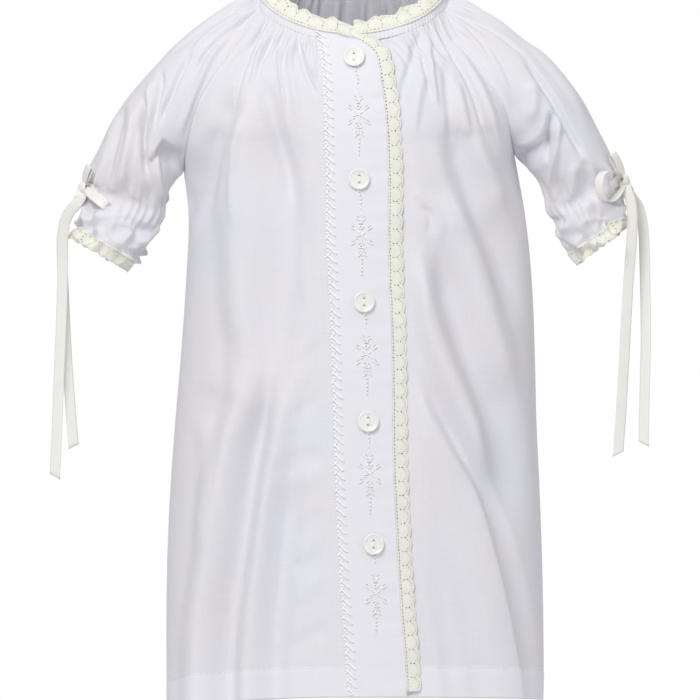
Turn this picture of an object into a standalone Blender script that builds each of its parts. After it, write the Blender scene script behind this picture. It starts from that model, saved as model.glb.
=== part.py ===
"""A newborn's daygown of fine white cotton, filled out as it is worn.

Two fronts, a back and two raglan sleeves are gathered into a narrow neck binding.
The wearer's right front ends in a buttoned placket that laps over the left front.
Ecru lace edges the neck, the front and the sleeve ends, and satin ribbon ties the cuffs.

The front faces -Y, the wearer's left is +X and Z is up. The origin is inside the neck,
level with the top of the shoulders. Tables and sizes are in millimetres.
"""
import math
from math import asin, cos, degrees, floor, pi, radians, sin, tau

import bmesh
import bpy
from mathutils import Matrix, Vector

for old in list(bpy.data.objects):
    bpy.data.objects.remove(old, do_unlink=True)

MM = 0.001

# Cloth, lace and ribbon
WALL = 1.2
PLACKET_WALL = 1.2
PLACKET_PROUD = 0.35
UNDERLAP_DEPTH = 2.1
UNDERLAP_START = 3.0
UNDERLAP_RAMP = 22.0
UNDERLAP_EDGE_X = -6.0
SEAM = 0.2
UNDERARM_CLEAR = 0.55
LACE_WALL = 1.0
LACE_WIDTH = 9.4
LACE_PROUD = 0.3
SCALLOP = 8.5
SCALLOP_DEPTH = 1.3
RIBBON_WIDTH = 6.35
RIBBON_WALL = 1.0
RIBBON_CLEAR = 1.35

# Buttons
BUTTON_DIAMETER = 12.7
BUTTON_THICKNESS = 2.2
BUTTON_HOLE = 1.5
BUTTON_HOLE_PITCH = 3.8
BUTTON_CLEAR = 0.35

# Where the raglan seams meet the neck, in degrees from centre front
FRONT_RAGLAN = 71.0
BACK_RAGLAN = 110.0

# Rings of the neck: the seam, the neckline above the binding, the lace's free edge.
# Columns: half width, depth, extra depth in front, height at the side, drop, extra drop
NECK_RINGS = (
    (57.0, 42.0, 2.0, -8.0, 20.0, 6.0),
    (54.0, 39.3, 1.8, -1.0, 19.8, 6.8),
    (48.5, 33.0, 1.5, 6.0, 20.0, 7.0),
)

# Sleeve sections from below the neck to the lace's free edge, for each side.
# Columns: outer x and z, seam x and z, half depth, half angle of the arc, rise of the
# back seam over the front one. Row 7 is the underarm; from there on the tube is closed
# and the seam lies underneath. Row 11 is the ribbon, row 14 the lace's heading.
SLEEVES = {
    -1: (
        (68.0, -9.5, 62.4, -24.4, 23.0, 60.0, 4.0),
        (88.0, -21.0, 71.0, -37.6, 24.4, 80.0, 2.0),
        (103.0, -33.0, 79.0, -49.0, 28.0, 92.0, 1.0),
        (115.0, -45.0, 88.0, -64.0, 30.0, 102.0, 0.0),
        (126.0, -57.5, 94.0, -78.0, 30.0, 115.0, 0.0),
        (136.0, -69.5, 98.5, -96.0, 29.5, 137.0, 0.0),
        (143.5, -81.0, 100.5, -111.0, 28.5, 180.0, 0.0),
        (149.8, -93.0, 105.0, -117.0, 27.5, 180.0, 0.0),
        (155.4, -105.0, 109.5, -123.5, 25.0, 180.0, 0.0),
        (159.5, -114.5, 111.6, -131.0, 20.0, 180.0, 0.0),
        (160.5, -121.0, 112.0, -138.6, 16.5, 180.0, 0.0),
        (163.0, -128.5, 115.5, -145.5, 20.0, 180.0, 0.0),
        (165.0, -137.0, 121.5, -155.5, 24.0, 180.0, 0.0),
        (165.5, -145.0, 129.0, -165.6, 25.0, 180.0, 0.0),
        (167.0, -153.5, 134.5, -172.8, 25.5, 180.0, 0.0),
    ),
    1: (
        (68.0, -10.0, 60.0, -29.0, 23.0, 60.0, 4.0),
        (87.0, -21.0, 69.0, -40.0, 24.4, 80.0, 2.0),
        (103.0, -33.0, 77.5, -52.0, 28.0, 92.0, 1.0),
        (117.0, -43.5, 85.5, -64.0, 30.0, 102.0, 0.0),
        (127.5, -53.5, 91.5, -75.5, 30.0, 115.0, 0.0),
        (137.5, -68.0, 94.5, -89.0, 29.5, 137.0, 0.0),
        (144.0, -79.5, 97.0, -102.0, 28.5, 180.0, 0.0),
        (150.5, -92.0, 104.5, -110.0, 27.5, 180.0, 0.0),
        (156.5, -104.0, 111.0, -117.5, 25.0, 180.0, 0.0),
        (161.0, -110.5, 115.0, -127.0, 20.0, 180.0, 0.0),
        (162.6, -116.5, 116.4, -136.0, 16.5, 180.0, 0.0),
        (163.4, -123.0, 120.5, -142.0, 20.0, 180.0, 0.0),
        (164.5, -130.0, 126.0, -151.5, 24.0, 180.0, 0.0),
        (165.0, -137.0, 131.4, -160.0, 25.0, 180.0, 0.0),
        (165.8, -146.0, 136.5, -168.0, 25.5, 180.0, 0.0),
    ),
}
UNDERARM = 7
RIBBON_ROW = 11.0
HEADING_ROW = 14
LACE_ROW = 15

# Centre lines of front and back beside rows 1 to 7 of the sleeves.
# Columns: front y and z, back y and z
CENTRES = (
    (-48.5, -42.0, 45.5, -8.0),
    (-52.5, -52.0, 51.0, -24.0),
    (-56.0, -63.0, 55.0, -40.0),
    (-58.5, -75.0, 58.0, -58.0),
    (-60.5, -87.0, 60.0, -75.0),
    (-62.0, -99.0, 61.5, -92.0),
    (-63.2, -112.0, 62.5, -110.0),
)

# Skirt sections below the underarm. The last row but one is the hem's stitch line.
# Columns: centre z, right side x and z, left side x and z, front depth, back depth
SKIRT = (
    (-141.0, -97.6, -141.0, 103.8, -141.0, 65.0, 64.0),
    (-180.0, -99.3, -180.0, 107.6, -180.0, 67.0, 66.0),
    (-219.0, -102.0, -219.0, 109.2, -219.0, 69.0, 68.0),
    (-260.0, -105.5, -260.0, 110.2, -260.0, 70.5, 69.5),
    (-300.0, -108.5, -301.0, 112.0, -300.0, 72.0, 71.0),
    (-340.0, -110.4, -343.0, 113.5, -340.0, 73.0, 72.0),
    (-376.0, -111.0, -383.0, 114.3, -377.0, 74.0, 73.0),
    (-408.5, -110.8, -419.5, 114.6, -410.0, 74.5, 73.5),
    (-426.8, -110.6, -437.8, 114.2, -429.0, 75.0, 74.0),
)
HEM_ROW = UNDERARM + len(SKIRT)

# The placket's inner edge, under the feather stitch, and its outer edge, where the lace
# is sewn on. Columns: z, x
FEATHER_LINE = (
    (-27.0, -20.0), (-44.0, -16.3), (-67.0, -14.5), (-146.0, -13.0), (-202.0, -10.3),
    (-283.0, -8.1), (-351.0, -5.0), (-400.0, -1.5), (-427.0, 0.0),
)
FRONT_EDGE = (
    (-27.6, -10.0), (-31.5, 0.0), (-36.6, 9.2), (-43.0, 14.6), (-58.8, 17.8), (-77.4, 20.4),
    (-110.0, 21.9), (-171.0, 22.4), (-220.0, 24.2), (-283.0, 24.9), (-333.0, 27.0),
    (-373.0, 29.4), (-409.0, 32.4), (-427.0, 32.9),
)

# Button centres on the placket. Columns: x, z
BUTTONS = ((1.2, -44.2), (4.2, -116.9), (7.2, -190.4), (9.6, -261.8), (12.8, -335.2))

# Folds of the fronts and the back, soft troughs (depth under 0) and ridges (over 0).
# Columns: x and z of the top, middle and bottom, half width, depth
FRONT_FOLDS = (
    (-62.0, -40.0, -71.0, -66.0, -87.6, -124.0, 5.5, -2.6),
    (-53.0, -44.0, -63.0, -60.0, -66.6, -84.0, 4.5, -1.6),
    (-80.0, -78.0, -89.0, -108.0, -92.0, -150.0, 6.0, 1.8),
    (-44.0, -60.0, -56.0, -120.0, -60.0, -190.0, 8.0, 1.6),
    (-33.0, -110.0, -38.0, -180.0, -36.0, -270.0, 9.0, -1.4),
    (-78.0, -170.0, -82.0, -270.0, -86.0, -434.0, 10.0, -2.6),
    (-62.0, -220.0, -68.0, -320.0, -72.0, -434.0, 10.0, 2.4),
    (-38.0, -280.0, -28.0, -345.0, -14.0, -400.0, 9.0, -1.8),
    (-45.0, -300.0, -48.0, -370.0, -50.0, -434.0, 10.0, -1.6),
    (53.0, -30.0, 68.4, -59.0, 81.0, -100.0, 4.5, -2.4),
    (45.0, -48.0, 58.0, -88.0, 64.0, -140.0, 6.0, 1.4),
    (61.0, -98.0, 66.0, -140.0, 71.0, -196.0, 8.5, -3.0),
    (80.0, -110.0, 84.0, -160.0, 86.0, -230.0, 8.0, 2.0),
    (48.0, -170.0, 50.0, -260.0, 56.0, -360.0, 10.0, 1.6),
    (66.0, -290.0, 78.0, -350.0, 92.0, -430.0, 9.0, -2.8),
    (60.0, -330.0, 64.0, -380.0, 70.0, -430.0, 8.0, 1.8),
)
BACK_FOLDS = (
    (-50.0, -30.0, -62.0, -70.0, -74.0, -120.0, 5.5, -2.2),
    (50.0, -30.0, 64.0, -70.0, 76.0, -124.0, 5.5, -2.2),
    (-22.0, -60.0, -30.0, -150.0, -34.0, -260.0, 9.0, -1.8),
    (24.0, -60.0, 30.0, -140.0, 30.0, -240.0, 9.0, -1.6),
    (2.0, -90.0, 0.0, -200.0, -4.0, -330.0, 10.0, 1.8),
    (-64.0, -150.0, -70.0, -280.0, -76.0, -434.0, 11.0, 2.6),
    (66.0, -160.0, 72.0, -290.0, 78.0, -430.0, 11.0, 2.6),
    (-44.0, -240.0, -50.0, -330.0, -54.0, -434.0, 10.0, -2.6),
    (44.0, -230.0, 50.0, -330.0, 54.0, -430.0, 10.0, -2.4),
    (-16.0, -300.0, -18.0, -370.0, -22.0, -430.0, 9.0, 2.0),
    (18.0, -290.0, 22.0, -360.0, 24.0, -430.0, 9.0, 1.8),
)

# Folds of the sleeves. Columns: position round the arc (-1 front seam, 1 back seam) and
# row of the top and of the bottom, half width, depth
SLEEVE_FOLDS = (
    (-0.62, 2.2, -0.50, 7.6, 0.11, -2.6),
    (-0.30, 3.4, -0.34, 8.8, 0.10, 1.8),
    (-0.75, 6.0, -0.46, 9.4, 0.09, -2.2),
    (-0.12, 4.6, -0.16, 9.4, 0.09, -1.6),
    (0.18, 2.6, 0.24, 8.6, 0.12, 1.8),
    (0.46, 3.0, 0.52, 8.4, 0.11, -2.2),
    (0.72, 4.0, 0.70, 9.0, 0.10, 1.6),
)

# Gathers: how many, and how deep, at each edge
FRONT_RIGHT_GATHERS = 9
FRONT_LEFT_GATHERS = 7
BACK_GATHERS = 12
SLEEVE_GATHERS = 8
CUFF_GATHERS = 11
NECK_GATHER_DEPTH = 1.15
CUFF_GATHER_DEPTH = 1.2
RUFFLE_DEPTH = 2.7

# Rows and columns of the walls
YOKE_ROWS = (0.0, 0.25, 0.6, 1.1, 1.8, 2.6, 3.5, 4.5, 5.7, 7.0)
SKIRT_ROWS = tuple(range(UNDERARM + 1, HEM_ROW + 1))
CUFF_ROWS = (8.0, 9.2, 10.2, 10.65, 11.35, 12.0, 13.0, 14.0)
PLACKET_TOP_ROWS = (-0.96, -0.5)
COLUMNS = {"front": 3, "back": 3, "placket": 4, "underlap": 5, "sleeve": 33}

# Hues of the materials
WHITE_COTTON = (0.83, 0.82, 0.86)
ECRU_LACE = (0.82, 0.80, 0.70)
CREAM_SATIN = (0.84, 0.83, 0.76)
PEARL = (0.86, 0.86, 0.80)


def through(a, b, c, d, s):
    """A smooth curve from b to c, with a before them and d after them."""
    return 0.5 * ((b * 2) + (c - a) * s + (a * 2 - b * 5 + c * 4 - d) * s**2
                  + (b * 3 - a - c * 3 + d) * s**3)


def loft(section, first, last):
    """The surface that runs smoothly through a row of sections."""
    def surface(t, v):
        row = min(max(floor(v), first), last - 1)
        b = section(row, t)
        c = section(row + 1, t)
        a = section(row - 1, t) if row > first else b * 2 - c
        d = section(row + 2, t) if row + 1 < last else c * 2 - b
        return through(a, b, c, d, v - row)
    return surface


def graph(table, z):
    """The x of a table of (z, x) rows at height z, on a smooth line."""
    last = len(table) - 1
    row = 0
    while row < last - 1 and z < table[row + 1][0]:
        row += 1
    before = table[max(row - 1, 0)]
    start = table[row]
    end = table[row + 1]
    after = table[min(row + 2, last)]
    span = end[0] - start[0]
    s = min(max((z - start[0]) / span, 0.0), 1.0)
    slope_in = (end[1] - before[1]) / (end[0] - before[0]) * span
    slope_out = (after[1] - start[1]) / (after[0] - start[0]) * span
    return (start[1] * (2 * s**3 - 3 * s**2 + 1) + slope_in * (s**3 - 2 * s**2 + s)
            + end[1] * (3 * s**2 - 2 * s**3) + slope_out * (s**3 - s**2))


def smooth(low, high, value):
    """0 below low, 1 above high and a soft step between."""
    s = min(max((value - low) / (high - low), 0.0), 1.0)
    return s * s * (3 - 2 * s)


def ring(angle, level):
    """A point of a neck ring, angle in degrees from centre front towards +X."""
    half, depth, front_depth, side, drop, front_drop = NECK_RINGS[level]
    a = radians(angle)
    return Vector((
        half * sin(a),
        -depth * cos(a) - front_depth * cos(a)**2,
        side - drop * cos(a) - front_drop * cos(a)**2,
    ))


def sleeve_section(side):
    """Sections of one sleeve: t runs from the front seam (-1) to the back seam (1)."""
    def section(row, t):
        if row <= 0:
            reach = 90 - FRONT_RAGLAN if t < 0 else BACK_RAGLAN - 90
            return ring(side * (90 + reach * t), -row)
        outer_x, outer_z, seam_x, seam_z, depth, half_angle, rise = SLEEVES[side][row - 1]
        arc = radians(half_angle)
        out = Vector((side * (outer_x - seam_x), 0, outer_z - seam_z)) / (1 - cos(arc))
        top = Vector((side * outer_x, 0, outer_z))
        lift = rise * sin(arc * t) / sin(arc) if rise else 0
        return top - out * (1 - cos(arc * t)) + Vector((0, depth * sin(arc * t), lift))
    return section


SECTION = {side: sleeve_section(side) for side in (-1, 1)}


def body_edge(row, side, face):
    """The edge of a front (face -1) or of the back (face 1) at one section."""
    if row <= UNDERARM:
        return SECTION[side](row, face)
    centre_z, right_x, right_z, left_x, left_z, front, back = SKIRT[row - UNDERARM - 1]
    return Vector((right_x, 0, right_z) if side < 0 else (left_x, 0, left_z))


def body_centre(row, face):
    """Centre front or centre back at one section."""
    if row <= UNDERARM:
        front_y, front_z, back_y, back_z = CENTRES[row - 1]
        return Vector((0, front_y, front_z) if face < 0 else (0, back_y, back_z))
    centre_z, right_x, right_z, left_x, left_z, front, back = SKIRT[row - UNDERARM - 1]
    return Vector((0, -front if face < 0 else back, centre_z))


def body_arc(row, face):
    """Half angle of the arc that a front or back section follows, in radians."""
    at_neck = FRONT_RAGLAN if face < 0 else 180 - BACK_RAGLAN
    return radians(at_neck + (90 - at_neck) * min(max(row, 0) / UNDERARM, 1))


def body_section(face):
    """Sections of the fronts or the back: t is -1 at the -X edge, 1 at the +X edge."""
    def section(row, t):
        arc = body_arc(row, face)
        if row <= 0:
            turn = degrees(arc) * t
            return ring(turn if face < 0 else 180 - turn, -row)
        edge = body_edge(row, 1 if t > 0 else -1, face)
        centre = body_centre(row, face)
        share = (1 - cos(arc * t)) / (1 - cos(arc))
        point = centre + (edge - centre) * share
        point.x = edge.x * abs(sin(arc * t)) / sin(arc)
        return point
    return section


SEAM_LINE = {}
SIDE_LINE = {}
for side_of in (-1, 1):
    for face_of in (-1, 1):
        SEAM_LINE[side_of, face_of] = loft(SECTION[side_of], -2, UNDERARM)
    SIDE_LINE[side_of] = loft(
        lambda row, t, s=side_of: body_edge(row, s, -1), UNDERARM, HEM_ROW)


def body_surface(face):
    """The smooth surface of the fronts or of the back, exact along its seams."""
    surface = loft(body_section(face), -2, HEM_ROW)

    def fitted(t, v):
        point = surface(t, v)
        side = 1 if t > 0 else -1
        if v <= UNDERARM:
            edge = SEAM_LINE[side, face](face, v)
        else:
            edge = SIDE_LINE[side](0, v)
        return point + (edge - surface(side, v)) * smooth(0.55, 1.0, abs(t))
    return fitted


def sleeve_surface(side):
    """The smooth surface of one sleeve, exact along its seams."""
    surface = loft(SECTION[side], -2, LACE_ROW)

    def fitted(t, v):
        point = surface(t, v)
        if v > UNDERARM:
            return point
        end = 1 if t > 0 else -1
        edge = SEAM_LINE[side, end](end, v)
        return point + (edge - surface(end, v)) * smooth(0.55, 1.0, abs(t))
    return fitted


FRONT = body_surface(-1)
BACK = body_surface(1)
SLEEVE = {side: sleeve_surface(side) for side in (-1, 1)}


def outward(surface, t, v, turn):
    """Unit normal of a surface; turn is 1 where t runs rightwards seen from outside."""
    step = 0.01
    low = max(t - step, -1)
    high = min(t + step, 1)
    across = surface(high, v) - surface(low, v)
    down = surface(t, v + step) - surface(t, v - step)
    return down.cross(across).normalized() * turn


def along_front(x, v):
    """The t of the front's surface at distance x from the middle, on row v."""
    side = 1 if x > 0 else -1
    row = min(max(v, 0), HEM_ROW)
    edge = SEAM_LINE[side, -1](-1, v) if v <= UNDERARM else SIDE_LINE[side](0, v)
    arc = body_arc(row, -1)
    return side * asin(min(abs(x) * sin(arc) / abs(edge.x), 1)) / arc


def row_at(x, z):
    """The row of the front's surface that passes through (x, z)."""
    low = -2.0
    high = float(HEM_ROW)
    for _ in range(40):
        middle = (low + high) / 2
        if FRONT(along_front(x, middle), middle).z > z:
            low = middle
        else:
            high = middle
    return (low + high) / 2


def line_t(line, v):
    """The t at which row v meets a line of the placket."""
    x = graph(line, FRONT(0, v).z)
    for _ in range(8):
        x = graph(line, FRONT(along_front(x, v), v).z)
    return along_front(x, v)


def underlap(point):
    """How far the left front sinks to pass under the placket and its lace."""
    start = graph(FRONT_EDGE, min(point.z, -43.0)) + UNDERLAP_START
    return UNDERLAP_DEPTH * (1 - smooth(start, start + UNDERLAP_RAMP, point.x))


def fold_height(folds, point):
    """Height of the long folds at a point of the body."""
    height = 0.0
    for top_x, top_z, mid_x, mid_z, low_x, low_z, half_width, depth in folds:
        if not low_z < point.z < top_z:
            continue
        x = graph(((top_z, top_x), (mid_z, mid_x), (low_z, low_x)), point.z)
        away = abs(point.x - x) / half_width
        if away > 2:
            continue
        length = top_z - low_z
        grow = smooth(top_z, top_z - 0.3 * length, point.z)
        runs_out = low_z < -420
        fade = 1 if runs_out else smooth(low_z, low_z + 0.3 * length, point.z)
        height += depth * grow * fade * (1 + cos(pi * away / 2)) / 2
    return height


def gather_height(count, share, v, depth):
    """Height of the neck's gathers: share runs from 0 to 1 across the piece."""
    number = floor(share * count)
    length = 2.6 + 1.1 * sin(2.3 * number + 0.7)
    size = 0.75 + 0.25 * sin(1.7 * number)
    rise = smooth(0.0, 0.6, v) * (1 - smooth(0.8, length, v))
    return depth * size * rise * sin(tau * share * count)


def body_point(surface, folds, t, v, share, gathers):
    """A point of a front or the back with its gathers and folds."""
    point = surface(t, v)
    ease = 1 - smooth(0.9, 1.0, abs(t))
    height = gather_height(gathers, share, v, NECK_GATHER_DEPTH)
    height += fold_height(folds, point)
    turn = -1 if folds is BACK_FOLDS else 1
    return point + outward(surface, t, v, turn) * height * ease


def sleeve_point(side, t, v):
    """A point of a sleeve with its gathers, folds and ruffle."""
    surface = SLEEVE[side]
    share = (t + 1) / 2
    height = gather_height(SLEEVE_GATHERS, share, v, NECK_GATHER_DEPTH * 0.9)
    for start_t, start_v, end_t, end_v, half_width, depth in SLEEVE_FOLDS:
        if start_v < v < end_v:
            s = (v - start_v) / (end_v - start_v)
            away = abs(t - start_t - (end_t - start_t) * s) / half_width
            if away < 2:
                height += depth * sin(pi * s) * (1 + cos(pi * away / 2)) / 2
    above = smooth(8.4, 10.2, v) * (1 - smooth(10.2, 10.7, v)) * CUFF_GATHER_DEPTH
    under = 0.35 * smooth(10.2, 10.7, v) * (1 - smooth(11.3, 12.0, v))
    below = smooth(11.3, 14.4, v) * RUFFLE_DEPTH
    wave = sin(tau * share * CUFF_GATHERS + 0.5 * sin(tau * share * 3))
    height += wave * (above + under + below)
    ease = 1 - smooth(0.93, 1.0, abs(t))
    turn = 1 if side > 0 else -1
    clear = Vector((side * UNDERARM_CLEAR, 0, UNDERARM_CLEAR / 2))
    clear *= smooth(5.7, 7.0, v) * smooth(0.6, 1.0, abs(t))
    return surface(t, v) + outward(surface, t, v, turn) * height * ease + clear


def note_normals(table, grid):
    """Adds each cell's normal to its four corners, so seams share one direction."""
    for upper, lower in zip(grid, grid[1:]):
        for j in range(len(upper) - 1):
            normal = (lower[j + 1] - upper[j]).cross(upper[j + 1] - lower[j])
            for point in (upper[j], upper[j + 1], lower[j], lower[j + 1]):
                table.setdefault(point.to_tuple(2), Vector()).__iadd__(normal)


def material(name, colour, roughness):
    """A plain material of one hue."""
    made = bpy.data.materials.new(name)
    made.use_nodes = True
    shader = made.node_tree.nodes["Principled BSDF"]
    shader.inputs["Base Color"].default_value = (*colour, 1)
    shader.inputs["Roughness"].default_value = roughness
    shader.inputs["Metallic"].default_value = 0.0
    return made


COTTON = material("white_cotton", WHITE_COTTON, 0.85)
LACE = material("ecru_lace", ECRU_LACE, 0.9)
SATIN = material("cream_satin", CREAM_SATIN, 0.4)
SHELL = material("mother_of_pearl", PEARL, 0.25)


def add_object(name, bm, surface):
    """Turns a bmesh into a named object of the scene."""
    mesh = bpy.data.meshes.new(name)
    bm.to_mesh(mesh)
    bm.free()
    mesh.materials.append(surface)
    piece = bpy.data.objects.new(name, mesh)
    bpy.context.collection.objects.link(piece)
    mesh.shade_smooth()
    mesh.set_sharp_from_angle(angle=radians(50))
    return piece


def wall(name, grid, surface, outer=0.0, thick=WALL, gaps=(0, 0, 0, 0), shared=None):
    """A closed wall on a grid of points; gaps trim its top, bottom, first and last edge."""
    table = shared
    if table is None:
        table = {}
        note_normals(table, grid)
    rows = len(grid)
    columns = len(grid[0])
    top, bottom, first, final = gaps
    bm = bmesh.new()
    bmesh.ops.create_grid(bm, x_segments=columns - 1, y_segments=rows - 1, size=1)
    place = bm.verts.layers.int.new("place")
    for number, vert in enumerate(bm.verts):
        vert[place] = number
    made = bmesh.ops.extrude_face_region(bm, geom=bm.faces[:], use_keep_orig=True)
    inner = {item for item in made["geom"] if isinstance(item, bmesh.types.BMVert)}
    for vert in bm.verts:
        i, j = divmod(vert[place], columns)
        point = grid[i][j]
        normal = table[point.to_tuple(2)].normalized()
        moved = point.copy()
        for trim, at_edge, next_i, next_j in (
                (top, i == 0, i + 1, j), (bottom, i == rows - 1, i - 1, j),
                (first, j == 0, i, j + 1), (final, j == columns - 1, i, j - 1)):
            if trim and at_edge:
                moved += (grid[next_i][next_j] - point).normalized() * trim
        depth = thick if vert in inner else 0
        vert.co = (moved + normal * (outer - depth)) * MM
    bmesh.ops.triangulate(bm, faces=bm.faces[:], quad_method="FIXED")
    bmesh.ops.recalc_face_normals(bm, faces=bm.faces[:])
    return add_object(name, bm, surface)


BODY_ROWS = YOKE_ROWS + SKIRT_ROWS
SLEEVE_ROWS = YOKE_ROWS + CUFF_ROWS
NORMALS = {}


def spread(count):
    """Shares from 0 to 1 in a number of equal steps."""
    return [step / count for step in range(count + 1)]


# Right front, from its side seam to the feather stitch
front_right = []
for v in BODY_ROWS:
    end = line_t(FEATHER_LINE, v)
    front_right.append([
        body_point(FRONT, FRONT_FOLDS, -1 + (end + 1) * share, v, share, FRONT_RIGHT_GATHERS)
        for share in spread(FRONT_RIGHT_GATHERS * COLUMNS["front"])])

# Placket, from the feather stitch to the front edge, rounded at the neck
placket = []
for v in PLACKET_TOP_ROWS + BODY_ROWS:
    start = line_t(FEATHER_LINE, v)
    end = line_t(FRONT_EDGE, v)
    placket.append([FRONT(start + (end - start) * share, v)
                    for share in spread(COLUMNS["placket"])])
for made_row, front_row in zip(placket[len(PLACKET_TOP_ROWS):], front_right):
    made_row[0] = front_row[-1].copy()

# Left front, from its hidden edge under the placket to its side seam
front_left = []
for v in BODY_ROWS:
    hidden = along_front(UNDERLAP_EDGE_X, v)
    start = line_t(FRONT_EDGE, v)
    row = [FRONT(hidden + (start - hidden) * share, v)
           for share in spread(COLUMNS["underlap"])[:-1]]
    row += [body_point(FRONT, FRONT_FOLDS, start + (1 - start) * share, v, share,
                       FRONT_LEFT_GATHERS)
            for share in spread(FRONT_LEFT_GATHERS * COLUMNS["front"])]
    front_left.append([
        point - outward(FRONT, along_front(point.x, v), v, 1) * underlap(point)
        for point in row])

back = [[body_point(BACK, BACK_FOLDS, 1 - 2 * share, v, share, BACK_GATHERS)
         for share in spread(BACK_GATHERS * COLUMNS["back"])] for v in BODY_ROWS]

sleeves = {}
for side in (-1, 1):
    sleeves[side] = [[sleeve_point(side, side * (2 * share - 1), v)
                      for share in spread(COLUMNS["sleeve"])] for v in SLEEVE_ROWS]

for grid in (front_right, placket, front_left, back, sleeves[-1], sleeves[1]):
    note_normals(NORMALS, grid)

wall("front_right", front_right, COTTON, gaps=(SEAM, 0, SEAM, SEAM), shared=NORMALS)
wall("placket", placket, COTTON, outer=PLACKET_PROUD, thick=PLACKET_WALL,
     gaps=(0, 0, SEAM, 0), shared=NORMALS)
wall("front_left", front_left, COTTON, gaps=(SEAM, 0, 0, SEAM), shared=NORMALS)
wall("back", back, COTTON, gaps=(SEAM, 0, SEAM, SEAM), shared=NORMALS)
for side, name in ((-1, "sleeve_right"), (1, "sleeve_left")):
    wall(name, sleeves[side], COTTON, gaps=(SEAM, SEAM, SEAM, SEAM), shared=NORMALS)

# Neck binding: from under the placket round the neck to the feather stitch
BINDING_START = -5.0
BINDING_END = 360 - degrees(asin(20.4 / NECK_RINGS[1][0]))
BINDING_COLUMNS = 48


def neck_point(angle, level, share):
    """A point between two neck rings, sunk where it passes under the placket."""
    point = ring(angle, level) * (1 - share) + ring(angle, level + 1) * share
    inward = Vector((-point.x, -point.y, 0)).normalized()
    if angle < 90:
        point += inward * underlap(point)
    return point


binding = []
for share in (1.0, 0.5, 0.0):
    binding.append([
        neck_point(BINDING_START + (BINDING_END - BINDING_START) * step, 0, share)
        for step in spread(BINDING_COLUMNS)])
wall("neck_binding", binding, COTTON, gaps=(SEAM, SEAM, 0, SEAM))


def scallop(distance):
    """How far the lace's free edge stands back at a distance along it."""
    return SCALLOP_DEPTH * (1 - abs(sin(pi * distance / SCALLOP)))


# Neck lace: from under the front lace's corner round the neck to the same corner
NECK_LACE_START = 1.0
NECK_LACE_END = 360 - degrees(asin(10.6 / NECK_RINGS[1][0]))
NECK_SCALLOPS = 36

neck_lace = [[], []]
for step in spread(NECK_SCALLOPS * 2):
    angle = NECK_LACE_START + (NECK_LACE_END - NECK_LACE_START) * step
    back_by = scallop(step * NECK_SCALLOPS * SCALLOP) / LACE_WIDTH
    neck_lace[0].append(neck_point(angle, 1, 1 - back_by))
    neck_lace[1].append(neck_point(angle, 1, 0.0))
wall("neck_lace", neck_lace, LACE, thick=LACE_WALL, gaps=(0, 0.5, 0, SEAM))

# Front lace: round the placket's top corner and down its edge to the hem
LACE_END_Z = -423.4
CORNER_TILT = 0.68


def front_spot(x, z, normals):
    """The point of the front's smooth surface at (x, z); its normal goes to a table."""
    v = row_at(x, z)
    t = along_front(x, v)
    point = FRONT(t, v)
    normals[point.to_tuple(2)] = outward(FRONT, t, v, 1)
    return point


def edge_path(count):
    """Points (x, z) evenly spaced along the placket's outer edge, with the way outward."""
    fine = [(graph(FRONT_EDGE, z), z) for z in
            (-27.6 + (LACE_END_Z + 27.6) * share**2 for share in spread(600))]
    lengths = [0.0]
    for start, stop in zip(fine, fine[1:]):
        lengths.append(lengths[-1] + math.dist(start, stop))
    path = []
    spot = 0
    for step in spread(count):
        wanted = lengths[-1] * step
        while spot < len(fine) - 2 and lengths[spot + 1] < wanted:
            spot += 1
        start = Vector(fine[spot])
        stop = Vector(fine[spot + 1])
        share = (wanted - lengths[spot]) / (lengths[spot + 1] - lengths[spot])
        run = (stop - start).normalized()
        path.append((start.lerp(stop, share), Vector((-run.y, run.x)), wanted))
    return path


front_lace = []
lace_normals = {}
for spot, way, distance in edge_path(100):
    tilt = 1 - (1 - CORNER_TILT) * smooth(0.3, 0.9, way.y)
    reach = LACE_WIDTH - scallop(distance)
    inner_spot = front_spot(spot.x, spot.y, lace_normals)
    outer_spot = front_spot(spot.x + way.x * reach, spot.y + way.y * reach * tilt,
                            lace_normals)
    front_lace.append([inner_spot, outer_spot])
wall("front_lace", front_lace, LACE, outer=LACE_PROUD, thick=LACE_WALL,
     gaps=(SEAM, 0, 0.45, 0), shared=lace_normals)

# Cuff lace: sewn to the ruffle, and ruffled with it
CUFF_SCALLOPS = 22

for side, name in ((-1, "cuff_lace_right"), (1, "cuff_lace_left")):
    heading = []
    free_edge = []
    for share in spread(CUFF_SCALLOPS * 2):
        t = side * (2 * share - 1)
        back_by = scallop(share * CUFF_SCALLOPS * SCALLOP) / LACE_WIDTH
        heading.append(sleeve_point(side, t, HEADING_ROW))
        free_edge.append(sleeve_point(side, t, LACE_ROW - back_by))
    wall(name, [heading, free_edge], LACE, thick=LACE_WALL,
         outer=-(WALL - LACE_WALL) / 2, gaps=(0.35, 0, SEAM, SEAM))


# Buttons: round discs with a rounded rim and two thread holes, one above the other
BUTTON_SIDES = 16
HOLE_SIDES = 6
RIM = 0.6


def add_disc(bm, diameter, thickness, sides, middle):
    """A closed round disc, its axis along Z."""
    bmesh.ops.create_cone(
        bm, cap_ends=True, segments=sides, radius1=diameter / 2 * MM,
        radius2=diameter / 2 * MM, depth=thickness * MM,
        matrix=Matrix.Translation(Vector(middle) * MM))


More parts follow.
